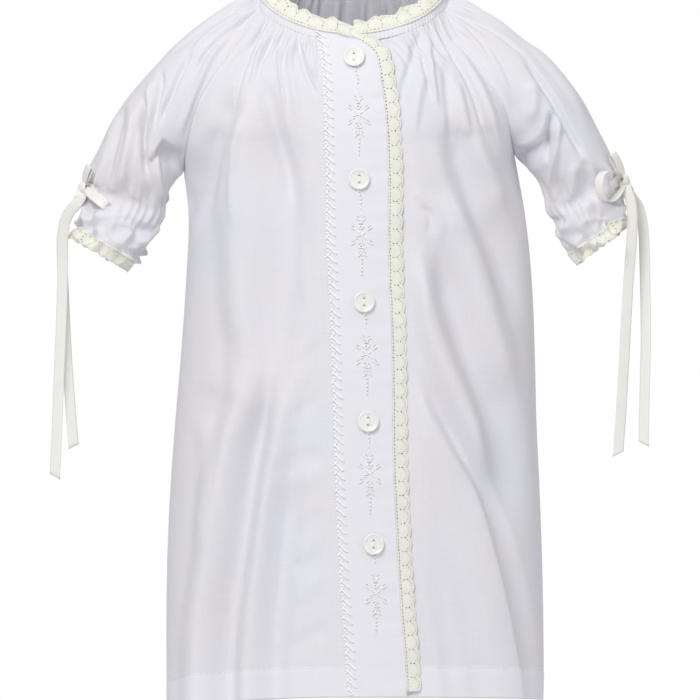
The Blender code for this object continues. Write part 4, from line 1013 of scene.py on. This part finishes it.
angle = np.linspace(BINDING_START, BINDING_END + 4, 801)[None, :]
share = np.linspace(1.03, -0.06, 12)[:, None]
angle, share = np.broadcast_arrays(angle, share)
points = neck_points(angle, 0, share)
roll = 0.1 + 0.6 * np.sin(pi * np.clip(share, 0, 1))
swing = angle * 2.3 + 0.9 * np.sin(angle * 0.23) + 0.5 * share
roll += 0.42 * (0.6 + 0.4 * np.sin(angle * 0.37)) * np.sin(swing) * (1.15 - 0.8 * share)
roll -= 1.4 * soft_step(BINDING_END - 1.5, BINDING_END + 1.5, angle)
across = np.gradient(points, axis=1)
down = np.gradient(points, axis=0)
points = points + unit(np.cross(down, across)) * roll[..., None]
binding = lay_sheet("neck_binding_cloth", points, cotton, 0.6, doubled=share * 0 + 1)
finish_piece(binding, "white_cotton", "neck_binding")

# Lace.
# Ecru cotton eyelet edging, three eighths of an inch wide, sewn by its heading of small
# holes to the neck, down the front and round both sleeve ends. Each scallop has a row of
# eyelets along its edge, a padded petal, and two eyelets between it and the next, all a
# little uneven. A painted shade darkens the cloth at the edge of each hole, for the shade
# on its sides, and the raised stitching is painted lighter as a painted highlight.
LACE_WIDTH = 9.4
SCALLOP = 8.8
SCALLOP_DEPTH = 1.3
EYELET = 0.39
HEADING_AT = 0.95

eyelets, given, made = node_group("eyelet_pattern", {"Cloth": "Vector"},
                                  ("Cover", "Height", "Shade"))
wander = add(eyelets, "TexNoise", {"Vector": given.outputs["Cloth"], "Scale": 0.45,
                                   "Detail": 1.0})
astray = calc(eyelets, "SUBTRACT", wander.outputs["Color"], (0.5, 0.5, 0.5),
              kind="VectorMath")
uneven = calc(eyelets, "MULTIPLY_ADD", astray, (1.1, 0.9, 0.0), given.outputs["Cloth"],
              kind="VectorMath")
apart = add(eyelets, "SeparateXYZ", {"Vector": uneven})


def repeat(pitch, shift):
    """Lace coordinates that repeat along the edging, with 0 at the middle of each one."""
    turns = calc(eyelets, "MULTIPLY_ADD", apart.outputs["X"], 1 / pitch, shift)
    along = calc(eyelets, "MULTIPLY_ADD", calc(eyelets, "FRACT", turns), pitch, -pitch / 2)
    return add(eyelets, "CombineXYZ", {"X": along, "Y": apart.outputs["Y"]}).outputs[0]


def reach_from(coordinates, along, across):
    """Distance on the lace from a point of its pattern."""
    return calc(eyelets, "DISTANCE", coordinates, (along, across, 0), kind="VectorMath")


heading = repeat(SCALLOP / 4, 0.0)
petal = repeat(SCALLOP, 0.0)
valley = repeat(SCALLOP, 0.5)
# Each hole's repeat, its place along and across the edging, and its radius
spots = [(heading, 0.0, HEADING_AT, EYELET), (valley, 0.0, 3.1, 0.36),
         (valley, 0.0, 5.3, 0.42)]
spots += [(petal, 3.7 * sin(radians(turn)), 4.45 + 3.4 * cos(radians(turn)), 0.27)
          for turn in (-54, -27, 0, 27, 54)]
edges = [calc(eyelets, "SUBTRACT", reach_from(coordinates, along, across), radius)
         for coordinates, along, across, radius in spots]
nearest = edges[0]
for edge in edges[1:]:
    nearest = calc(eyelets, "MINIMUM", nearest, edge)
rim = remap(eyelets, nearest, 0.05, 0.6, 1.0, 0.0)
squash = calc(eyelets, "MULTIPLY", petal, (0.36, 0.52, 0), kind="VectorMath")
pad = remap(eyelets, reach_from(squash, 0, 2.25), 0.75, 1.05, 1.0, 0.0)
ribs = calc(eyelets, "SINE", calc(eyelets, "MULTIPLY", apart.outputs["X"], 11.0))
padded = calc(eyelets, "MULTIPLY", pad, calc(eyelets, "MULTIPLY_ADD", ribs, 0.16, 0.8))
off_cord = calc(eyelets, "SUBTRACT", reach_from(petal, 0, 3.6), 5.05)
cord = remap(eyelets, calc(eyelets, "ABSOLUTE", off_cord), 0.1, 0.55, 1.0, 0.0)
raised = calc(eyelets, "MAXIMUM", rim, cord)
# Shade is painted shade, darkest at the edge of each hole, where its sides are in shade
connect(eyelets, made, Cover=calc(eyelets, "GREATER_THAN", nearest, 0.0),
        Height=calc(eyelets, "MAXIMUM", raised, padded),
        Shade=remap(eyelets, nearest, 0.02, 0.17, 0.55, 0.0))

lace, tree, shader = finish_of("ecru_lace", 0.9, Sheen_Weight=0.1, Specular_IOR_Level=0.2)
place = add(tree, "TexCoord").outputs["Object"]
cloth = add(tree, "UVMap", uv_map="cloth").outputs[0]
pattern = add(tree, "Group", {"Cloth": cloth}, node_tree=eyelets)
threads = add(tree, "Group", {"Cloth": cloth, "Pitch": 0.7}, node_tree=weave)
tone = ramp(tree, noise(tree, place, 160.0, Detail=3.0),
            (0.34, (0.885, 0.868, 0.775)), (0.66, (0.925, 0.915, 0.81)))
# Raised stitching is painted lighter, a painted highlight on its relief.
raised = mix(tree, pattern.outputs["Height"], tone, (0.94, 0.935, 0.87, 1))
# The dark colour is painted shade at the edge of each hole.
colour = mix(tree, pattern.outputs["Shade"], mix(tree, 0.25, tone, raised),
             (0.60, 0.58, 0.52, 1))
net = calc(tree, "MULTIPLY_ADD", threads.outputs["Height"], 0.18, pattern.outputs["Height"])
connect(tree, shader, Base_Color=colour, Alpha=pattern.outputs["Cover"],
        Normal=relief(tree, net, 0.10, 0.0002))

LACE_THICK = 0.4
ACROSS = np.linspace(0, 1, 13)
# Steps along each scallop
FINE = 12


def scallop(distance):
    """How far the lace's free edge stands back at a distance along it."""
    return SCALLOP_DEPTH * (1 - np.abs(np.sin(pi * distance / SCALLOP)))


def lace_cloth(distance, reach):
    """Where each point of a lace grid lies on the edging, in millimetres."""
    return np.stack(np.broadcast_arrays(distance[:, None], reach), -1)


# Neck lace, standing up from the binding from under the front corner to the same corner
NECK_LACE_START = 1.0
NECK_LACE_END = right_of_middle(8.6)
NECK_SCALLOPS = 35
# How far the lace's heading is covered at its seam
NECK_TUCK = 0.4
step = np.linspace(0, 1, NECK_SCALLOPS * FINE + 1)
angle = NECK_LACE_START + (NECK_LACE_END - NECK_LACE_START) * step
distance = step * NECK_SCALLOPS * SCALLOP
reach = (LACE_WIDTH - scallop(distance))[:, None] * ACROSS
low = 0.28 * (1 - reach / LACE_WIDTH)
points = (neck_points(angle[:, None], 1, reach / LACE_WIDTH)
          + (ring(angle, 0) - ring(angle, 1))[:, None] * low[..., None])
ruffle = (np.sin(distance * 0.29) + 0.8 * np.sin(distance * 0.47 + 1)
          + 0.6 * np.sin(distance * 0.13 + 2))
flare = 1.15 * ACROSS[None, :]**1.3 * ruffle[:, None] + 1.9 * (1 - ACROSS)
lift = 0.9 * ACROSS[None, :] * np.sin(distance * 0.37 + 2)[:, None]
points = points + unit(points * (1, 1, 0)) * flare[..., None]
points[..., 2] += lift
neck_end = points[-1]
points = points.transpose(1, 0, 2)[::-1]
cloth_place = lace_cloth(distance, reach - NECK_TUCK).transpose(1, 0, 2)[::-1]
neck_lace = lay_sheet("neck_lace_edging", points, lace, LACE_THICK, cloth=cloth_place)
finish_piece(neck_lace, "ecru_lace", "neck_lace")

# Front lace, round the placket's top corner and down its edge to the hem
LACE_END_Z = -423.4
FRONT_SCALLOPS = 49
FRONT_TUCK = 0.25
CORNER_TILT = 0.68


def on_front(x, z, proud=0.0, over=None):
    """Points of the front at (x, z), raised by a height and by the cloth's own height."""
    x, z = paired(x, z)
    low = np.full(x.shape, -2.0)
    high = np.full(x.shape, float(HEM_ROW))
    for _ in range(22):
        middle = (low + high) / 2
        above = FRONT(along_front(x, middle), middle)[..., 2] > z
        low = np.where(above, middle, low)
        high = np.where(above, high, middle)
    v = (low + high) / 2
    t = along_front(x, v)
    base = FRONT(t, v)
    height = proud + (0 * x if over is None else over(base))
    return base + outward(FRONT, t, v) * height[..., None]


def along_line(line, top, bottom, count):
    """Evenly spaced points of a line of the placket, its directions and distances."""
    z = top + (bottom - top) * np.linspace(0, 1, 900)**1.6
    fine = np.stack((graph(line, z), z), 1)
    steps = np.linalg.norm(np.diff(fine, axis=0), axis=1)
    lengths = np.concatenate(([0], np.cumsum(steps)))
    distance = np.linspace(0, lengths[-1], count)
    spots = np.stack([np.interp(distance, lengths, fine[:, k]) for k in (0, 1)], 1)
    run = unit(np.gradient(spots, axis=0))
    return spots, run, distance


spots, run, distance = along_line(FRONT_EDGE, FRONT_EDGE[0][0], LACE_END_Z,
                                  FRONT_SCALLOPS * FINE + 1)
distance = distance * FRONT_SCALLOPS * SCALLOP / distance[-1]
reach = (LACE_WIDTH - scallop(distance))[:, None] * ACROSS - FRONT_TUCK
tilt = 1 - (1 - CORNER_TILT) * soft_step(0.3, 0.9, run[:, 0])
lean = 0.5 * (1 - soft_step(0, 13, distance))[:, None] * reach
x = spots[:, :1] - run[:, 1:] * reach - lean
z = spots[:, 1:] + run[:, :1] * reach * tilt[:, None]
ripple = 0.25 * np.sin(distance * 0.19 + 1)[:, None] * ACROSS - 1.3 * ACROSS**2
points = on_front(x, z, 0.55 + ripple)
standing = 1 - soft_step(2, 22, distance)[:, None, None]
base = points[:, :1] + (neck_end[0] - points[0, 0]) * standing
points += (base + neck_end - neck_end[0] - points) * standing
cloth_place = lace_cloth(distance, reach + FRONT_TUCK)
front_lace = lay_sheet("front_lace_edging", points, lace, LACE_THICK, cloth=cloth_place)
finish_piece(front_lace, "ecru_lace", "front_lace")

# Cuff laces, sewn to the ruffles and ruffled with them
CUFF_SCALLOPS = 22
CUFF_TUCK = 0.7
# The sleeve row at which the lace is sewn on, just inside the ruffle's end
CUFF_LACE_ROW = 13.96
cuff_laces = {}
for side, word in ((-1, "right"), (1, "left")):
    share = np.linspace(0, 1, CUFF_SCALLOPS * FINE + 1)
    distance = share * CUFF_SCALLOPS * SCALLOP
    reach = (LACE_WIDTH - scallop(distance))[:, None] * ACROSS
    t = side * (2 * share - 1)[:, None]
    points = sleeve_points(side, t, CUFF_LACE_ROW + reach / LACE_WIDTH).transpose(1, 0, 2)
    cloth_place = lace_cloth(distance, reach - CUFF_TUCK).transpose(1, 0, 2)
    cuff_laces[word] = lay_sheet(f"{word}_cuff_edging", points, lace, LACE_THICK,
                                 offset=1, cloth=cloth_place)
    finish_piece(cuff_laces[word], "ecru_lace", f"cuff_lace_{word}")

# Feather stitch.
# White machine embroidery in twisted cotton over the placket's seam: slanting stitches
# that branch to either side, with a needle hole at each outer end, drawn as a short grey
# tube of painted shade.
THREAD = 0.58

thread, tree, shader = finish_of("embroidery_thread", 0.62, Sheen_Weight=0.3)
place = add(tree, "TexCoord").outputs["Object"]
twist = add(tree, "TexWave", {"Vector": place, "Scale": 900.0, "Distortion": 1.5},
            bands_direction="DIAGONAL").outputs["Fac"]
connect(tree, shader, Normal=relief(tree, twist, 0.2, 0.0001),
        Base_Color=mix(tree, twist, (0.97, 0.97, 0.98, 1), (1.0, 1.0, 1.0, 1)))

# Grey painted shade for needle holes and slits seen dark; the noise mottles the shade.
hole_shade_paint, tree, shader = finish_of("needle_hole_shade", 0.95)
shade_mottle = noise(tree, add(tree, "TexCoord").outputs["Object"], 700.0)
tone = mix(tree, shade_mottle, (0.50, 0.47, 0.47, 1), (0.60, 0.57, 0.57, 1))
connect(tree, shader, Base_Color=tone)


def drawn_mesh(name, helper, finish):
    """The smooth mesh that a helper object shows, in one material; the helper goes."""
    mesh = bpy.data.meshes.new_from_object(
        helper.evaluated_get(bpy.context.evaluated_depsgraph_get()))
    bpy.data.objects.remove(helper)
    mesh.name = name
    mesh.materials.clear()
    mesh.materials.append(finish)
    mesh.shade_smooth()
    return mesh


def lay_threads(name, paths, finish, radius=THREAD):
    """Threads sewn to the gown along paths in millimetres: one mesh of round tubes."""
    line = bpy.data.curves.new(name, "CURVE")
    line.dimensions = "3D"
    line.bevel_depth = radius * MM
    line.bevel_resolution = 1
    line.use_fill_caps = True
    for path in paths:
        spline = line.splines.new("POLY")
        spline.points.add(len(path) - 1)
        places = np.hstack((path * MM, np.ones((len(path), 1))))
        spline.points.foreach_set("co", places.ravel())
    mesh = drawn_mesh(name, put(name + "_line", line), finish)
    bpy.data.curves.remove(line)
    piece = put(name, mesh)
    finish_piece(piece, "white_cotton")
    return piece


STITCH_COUNT = 74
FEATHER_TOP = -27.5
spots, run, distance = along_line(FEATHER_LINE, FEATHER_TOP, FEATHER_LINE[-1][0], 800)


def band_height(points):
    """Height of the cloth under the stitches, from the right front onto the placket."""
    from_seam = points[..., 0] - graph(FEATHER_LINE, points[..., 2])
    return placket_height(points) * soft_step(-0.9, 0.3, from_seam)


def stitched(stitches):
    """Paths on the front of stitches, each given as rows of x, z and height."""
    ends = np.cumsum([len(stitch) for stitch in stitches])[:-1]
    x, z, lift = np.vstack(stitches).T
    return np.split(on_front(x, z, lift, band_height), ends)


def by_line(stitch, first, wobble):
    """A stitch given across and along the feather line, from a distance along it."""
    along = np.minimum(first + stitch[:, 1], distance[-1])
    return np.stack((np.interp(along, distance, spots[:, 0]) + stitch[:, 0] + wobble,
                     np.interp(along, distance, spots[:, 1]), stitch[:, 2]), 1)


# Across and along each stitch of one repeat, in millimetres, and its height
STITCHES = (
    ((-2.5, 0.1, 0.0), (-1.7, 0.3, 0.35), (-0.6, 1.3, 0.5), (0.7, 2.7, 0.5),
     (1.9, 4.0, 0.5), (2.7, 4.6, 0.1)),
    ((-2.9, 1.5, 0.0), (-2.2, 0.5, 0.2), (-1.2, -0.5, 0.25), (-0.2, -1.4, 0.1)),
    ((-2.5, 2.7, -0.1), (-1.6, 3.1, 0.05), (-0.6, 3.7, 0.1)),
)
sewn = []
pricks = []
for number in range(STITCH_COUNT):
    first = number * distance[-1] / STITCH_COUNT
    wobble = 0.25 * sin(number * 2.7)
    for stitch in STITCHES:
        sewn.append(by_line(smooth_path(stitch, 2 * len(stitch)), first, wobble))
    for across, along in ((-3.1, 0.0), (3.2, 5.1)):
        prick = np.array(((across - 0.15, along, 0.0), (across + 0.15, along, 0.0)))
        pricks.append(by_line(prick, first, wobble))
feather = lay_threads("feather_stitch", stitched(sewn), thread)
lay_threads("feather_stitch_holes", stitched(pricks), hole_shade_paint, 0.26)
lay_threads("felled_seams", cords, cotton, 0.5)

# Embroidery between the buttons.
# White satin-stitch dashes, arrows and a star below each button. Above each dash the
# needle has pulled the band open in a small slit, drawn as a grey tube of painted shade.
MOTIFS = ((4.0, -78.0), (5.7, -150.0), (8.8, -221.4), (10.6, -292.6), (14.2, -364.4))
# Dashes thicker than this are of the thick thread and have a slit
THICK_DASH = 0.23
FINE_THREAD = 0.34
# Ends of each dash from the middle of a motif, and the thickness of its thread
DASHES = (
    (-6.4, 4.9, -4.1, 3.3, 0.34), (3.6, 2.9, 6.2, 4.8, 0.34),
    (-6.3, -5.8, -3.9, -4.1, 0.34), (4.2, -3.9, 6.7, -5.8, 0.34),
    (-2.6, 2.4, 0.0, 0.0, 0.2), (0.0, 0.0, 3.7, -2.5, 0.2), (-3.8, -1.1, 0.0, 0.0, 0.2),
    (-3.9, -2.5, -2.1, -2.0, 0.18), (0.0, 0.1, 2.4, 1.6, 0.18),
    (0.3, -1.5, 0.5, -3.2, 0.2), (-2.1, 5.5, 1.5, 5.5, 0.26), (-2.1, 5.4, -0.4, 3.4, 0.3),
    (1.5, 5.4, -0.3, 3.4, 0.26), (-2.1, -7.0, -0.1, -6.0, 0.32),
    (2.0, -7.7, 0.1, -6.1, 0.3), (-1.6, -7.4, 1.4, -7.9, 0.24),
    (-3.1, 10.5, -1.0, 8.8, 0.32), (2.3, 10.1, 0.8, 8.8, 0.32),
    (-2.3, -13.0, -0.2, -10.8, 0.3), (2.9, -12.6, 1.1, -10.8, 0.3),
    (-0.7, 13.8, 0.1, 10.4, 0.2), (0.2, 9.8, 0.7, 7.1, 0.2),
    (-1.2, 17.0, -0.2, 15.4, 0.22), (0.2, -8.6, 0.3, -10.2, 0.18),
    (0.3, -13.4, 0.3, -14.6, 0.3), (0.3, -15.8, 0.3, -17.0, 0.34),
    (0.2, -18.2, 0.2, -19.4, 0.34), (0.2, -20.5, 0.2, -21.7, 0.34),
    (0.1, -22.9, 0.1, -24.0, 0.32), (-0.6, 18.8, -0.5, 20.0, 0.3),
    (-0.4, 21.2, -0.3, 22.4, 0.3), (-1.5, 24.8, -1.2, 23.6, 0.26),
    (-2.2, 27.4, -1.9, 26.0, 0.26),
)
for number, (middle_x, middle_z) in enumerate(MOTIFS, 1):
    thick = []
    thin = []
    slits = []
    for from_x, from_z, to_x, to_z, size in DASHES:
        s = np.linspace(0, 1, 6)
        x = middle_x + from_x + (to_x - from_x) * s
        z = middle_z + from_z + (to_z - from_z) * s
        dash = np.stack((x, z - 0.2, 0.2 + 0.3 * np.sin(pi * s)), 1)
        (thick if size > THICK_DASH else thin).append(dash)
        if size > THICK_DASH:
            slits.append(dash[1:5] * (1, 1, 0) + (0.0, 1.0, 0.1))
    for name, lines, finish, size in ((f"motif_{number}", thick, thread, 0.56),
                                      (f"motif_{number}_fine", thin, thread, FINE_THREAD),
                                      (f"motif_{number}_slits", slits, hole_shade_paint,
                                       FINE_THREAD)):
        lay_threads(name, stitched(lines), finish, size)

# Hem stitches.
# The turned-up hem is held by small white machine stitches with a prick hole between
# each two, all round the skirt. Each prick hole is a short grey tube of painted shade.
HEM_PITCH = 2.2


def hem_line(surface, turn, first_t, last_t, height_at, sink=False):
    """The hem's stitches and prick holes from one t to another."""
    t = np.linspace(first_t, last_t, 200)
    length = np.linalg.norm(np.diff(surface(t, HEM_STITCH), axis=0), axis=1).sum()
    count = int(length / HEM_PITCH)
    start = np.arange(count)[:, None] / count
    lines = []
    for shares, lift in (((0.12, 0.45, 0.78), (0.02, 0.26, 0.02)),
                         ((0.9, 1.0), (0.0, 0.0))):
        t = first_t + (last_t - first_t) * (start + np.array(shares) / count)
        points = surface(t, HEM_STITCH)
        height = height_at(points, t)
        if sink:
            height = height - underlap(points)
        rise = (height + np.array(lift))[..., None]
        lines.append(list(points + outward(surface, t, HEM_STITCH, turn) * rise))
    return lines


def front_hem(gathers, seed):
    """The height of a front's cloth along its hem."""
    return lambda points, t: body_height(points, t, HEM_STITCH, t, gathers, FRONT_CREASES,
                                         seed)


SIDE_GAP = 0.985
seam, edge = (float(line_t(line, np.array(float(HEM_STITCH))))
              for line in (FEATHER_LINE, FRONT_EDGE))
for name, values in (
        ("right", (FRONT, 1, -SIDE_GAP, seam - 0.07, front_hem(RIGHT_GATHERS, 1.0))),
        ("left", (FRONT, 1, edge + 0.10, SIDE_GAP, front_hem(LEFT_GATHERS, 2.0), True)),
        ("back", (BACK, -1, SIDE_GAP, -SIDE_GAP,
                  lambda points, t: back_height(points, t, HEM_STITCH, t)))):
    stitches, holes = hem_line(*values)
    lay_threads(f"hem_stitches_{name}", stitches, thread, 0.17)
    lay_threads(f"hem_holes_{name}", holes, hole_shade_paint, 0.16)

# Buttons.
# Five half-inch mother-of-pearl buttons with a thin raised rim, sewn through two holes
# with white thread, each over an upright buttonhole worked in the band.
BUTTONS = ((1.2, -44.2), (4.2, -116.9), (7.2, -190.4), (9.6, -261.8), (12.8, -335.2))
BUTTON_HOLE = 1.5
HOLE_PITCH = 3.8
# Profile from the middle of the back to the middle of the front: radius and height
BUTTON_PROFILE = (
    (0.0, 0.0), (3.6, 0.0), (5.3, 0.35), (6.1, 0.85), (6.35, 1.35), (6.28, 1.85),
    (6.0, 2.16), (5.65, 2.2), (5.3, 2.06), (4.9, 1.82), (4.3, 1.7), (2.6, 1.66),
    (0.0, 1.64),
)
# Top and bottom of a buttonhole, from the middle of its button; the sides of its thread
# draw together at both ends, and its slit is shorter
BUTTONHOLE = (7.7, -6.9)
BUTTONHOLE_MIDDLE = 0.4
BUTTONHOLE_REACH = 7.6
BUTTONHOLE_SLIT = ((6.6, 0.06), (2.0, 0.0), (-6.0, 0.06))

pearl, tree, shader = finish_of("mother_of_pearl", 0.22, Coat_Weight=0.5,
                                Coat_Roughness=0.08, Specular_IOR_Level=0.6)
place = add(tree, "TexCoord").outputs["Object"]
drawn = add(tree, "Mapping", {"Vector": place, "Scale": (1.0, 1.0, 0.45),
                              "Rotation": (0.3, 0.9, 0.5)})
clouds = noise(tree, drawn.outputs[0], 170.0, Detail=2.0, Distortion=1.2)
tone = ramp(tree, clouds, (0.30, (0.89, 0.91, 0.83)), (0.72, (0.95, 0.90, 0.89)),
            (0.43, (0.94, 0.94, 0.84)), (0.56, (0.93, 0.94, 0.92)))
growth = add(tree, "TexWave", {"Vector": place, "Scale": 260.0, "Distortion": 6.0,
                               "Detail": 2.0})
connect(tree, shader, Base_Color=tone, Normal=relief(tree, clouds, 0.25, 0.0002),
        Roughness=remap(tree, growth.outputs["Fac"], 0.0, 1.0, 0.16, 0.3))

for number, (x, z) in enumerate(BUTTONS, 1):
    bm = bmesh.new()
    rim = [bm.verts.new((radius, 0, height)) for radius, height in BUTTON_PROFILE]
    line = [bm.edges.new(pair) for pair in zip(rim, rim[1:])]
    bmesh.ops.spin(bm, geom=rim + line, cent=(0, 0, 0), axis=(0, 0, 1), angle=tau,
                   steps=64, use_merge=True)
    bmesh.ops.remove_doubles(bm, verts=bm.verts, dist=0.0001)
    bmesh.ops.recalc_face_normals(bm, faces=bm.faces[:])
    whole = put("whole_button", mesh_from("whole_button", bm))
    bm = bmesh.new()
    for half in (-0.5, 0.5):
        bmesh.ops.create_cone(bm, cap_ends=True, segments=24, radius1=BUTTON_HOLE / 2,
                              radius2=BUTTON_HOLE / 2, depth=5.0,
                              matrix=Matrix.Translation((0.0, half * HOLE_PITCH, 1.5)))
    drill = put("drill", mesh_from("drill", bm))
    cut = whole.modifiers.new("holes", "BOOLEAN")
    cut.operation = "DIFFERENCE"
    cut.solver = "EXACT"
    cut.object = drill
    bored = drawn_mesh(f"pearl_button_{number}", whole, pearl)
    bpy.data.objects.remove(drill)
    base = on_front(x, z, PLACKET_PROUD + 0.3)
    normal = unit(on_front(x, z, 1.0) - on_front(x, z, 0.0))
    sideways = unit(np.array((1.0, 0, 0)) - normal * normal[0])
    upward = np.cross(normal, sideways)
    placed = Matrix(np.stack((sideways, upward, normal), 1).tolist()).to_4x4()
    placed.translation = Vector(base)
    bored.transform(Matrix.Scale(MM, 4) @ placed)
    button = put(f"pearl_button_{number}", bored)
    finish_piece(button, "mother_of_pearl", f"button_{number}")

    s = np.linspace(-1, 1, 9)[:, None]
    threads = []
    for aside in (-0.22, 0.22):
        threads.append(base + upward * s * HOLE_PITCH * 0.52 + sideways * aside
                       + normal * (1.9 - 1.5 * np.abs(s)**5))
    lay_threads(f"button_thread_{number}", threads, thread, FINE_THREAD)
    beads = []
    for aside in (-0.5, 0.5):
        up = np.linspace(*BUTTONHOLE, 20)
        narrow = np.sqrt(1 - ((up - BUTTONHOLE_MIDDLE) / BUTTONHOLE_REACH)**4)
        beads.append(np.stack((x + aside * narrow, z + up, up * 0 + 0.02), 1))
    slit = np.array([(x, z + rise, height) for rise, height in BUTTONHOLE_SLIT])
    lay_threads(f"buttonhole_{number}", stitched(beads), thread, 0.26)
    # The slit is a grey tube of painted shade, for the shade in the opening.
    lay_threads(f"buttonhole_slit_{number}", stitched([slit]), hole_shade_paint, 0.2)

# Cuff ribbons and bows.
# A cream satin ribbon gathers each sleeve. It runs under the gathered cloth and comes
# out on the outer side, where it is tied in a bow: a knot, two loops and the two tails.
KNOT_SIZE = (2.2, 3.0, 3.2)
KNOT_T = -1 / 6
KNOT_OUT = 5.7
LOOP_START = 0.085
# Way outward, length, half opening and the side of the opening
LOOPS = {
    -1: (("loop_right_upper", (0.30, -0.30, 0.90), 12.0, 1.3, (-0.9, -0.5, 0.1)),
         ("loop_right_front", (0.70, -0.45, -0.56), 19.5, 2.6, (-0.35, -0.89, 0.28))),
    1: (("loop_left_upper", (-0.44, -0.15, 0.88), 16.5, 1.8, (0.75, -0.6, 0.3)),
        ("loop_left_front", (-0.64, -0.72, -0.24), 23.5, 12.0, (0.0, 0.0, 1.0))),
}

for side, word in ((-1, "right"), (1, "left")):
    surface = SLEEVE[side]
    t = (KNOT_T + np.linspace(1, -1, 181) * side + 1) % 2 - 1
    way_off = np.abs((t - KNOT_T + 1) % 2 - 1)
    lift = 1.9 - 4.2 * soft_step(0.04, 0.14, way_off)
    path = surface(t, RIBBON_ROW) + outward(surface, t, RIBBON_ROW, side) * lift[:, None]
    across = unit(surface(t, RIBBON_ROW + 0.3) - surface(t, RIBBON_ROW - 0.3))
    band = lay_ribbon(f"ribbon_band_{word}", path, across)
    finish_piece(band, "cream_satin", f"ribbon_{word}")

    out = outward(surface, KNOT_T, RIBBON_ROW, side)
    centre = surface(KNOT_T, RIBBON_ROW) + out * KNOT_OUT
    along = unit(np.cross(out, (0, 0, 1)))
    upright = np.cross(out, along)
    turn = np.linspace(0, tau, 49)[:, None]
    wide = np.linspace(-1, 1, 17)[None, :]
    pull = np.sqrt(np.clip(1 - wide**2 * 0.86, 0, 1)) * (
        1 + 0.10 * np.sin(turn * 2 + wide * 2.2) + 0.05 * np.sin(wide * 9 + turn))
    points = (centre + out * (KNOT_SIZE[0] * np.cos(turn) * pull)[..., None]
              + upright * (KNOT_SIZE[2] * np.sin(turn) * pull)[..., None]
              + along * (KNOT_SIZE[1] * wide * (1 + 0.08 * np.sin(turn * 3)))[..., None])
    knot = lay_sheet(f"ribbon_knot_{word}", points, satin, RIBBON_THICK, offset=0)
    finish_piece(knot, "cream_satin", f"knot_{word}")
    for which in ("front", "back"):
        first, second = (np.array(TAILS[f"tail_{word}_{which}"][row]) for row in (0, 2))
        route = smooth_path((centre, centre * 0.55 + first * 0.45 - out * 0.6, first,
                             first * 0.5 + second * 0.5), 24)
        end = lay_ribbon(f"ribbon_end_{word}_{which}", route, (1.0, 0.1, 0) + route * 0)
        finish_piece(end, "cream_satin")
    tip = np.stack((out, along, upright))
    for name, way, length, half_open, opening in LOOPS[side]:
        way = unit(np.array(way))
        opening = np.array(opening)
        opening = unit(opening - way * (opening @ way))
        width_way = np.cross(way, opening)
        skin = 1 / sqrt(sum((tip @ way / np.array(KNOT_SIZE))**2))
        start = skin - 0.6 - length * (1 - cos(tau * LOOP_START)) / 2
        turn = tau * np.linspace(LOOP_START, 1 - LOOP_START, 60)[:, None]
        far = (1 - np.cos(turn)) / 2
        path = (centre + way * (start + length * far)
                + opening * half_open * np.sin(turn) * (0.45 + 0.55 * far))
        pinch = 0.55 + 0.45 * soft_step(0, 0.4, np.sin(turn / 2) - 0.26)
        loop = lay_ribbon(f"ribbon_{name}", path, width_way * pinch)
        finish_piece(loop, "cream_satin", name)

size = {"cad": [list(map(float, corner)) for corner in cad_box],
        "visual": [list(map(float, corner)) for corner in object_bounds()]}
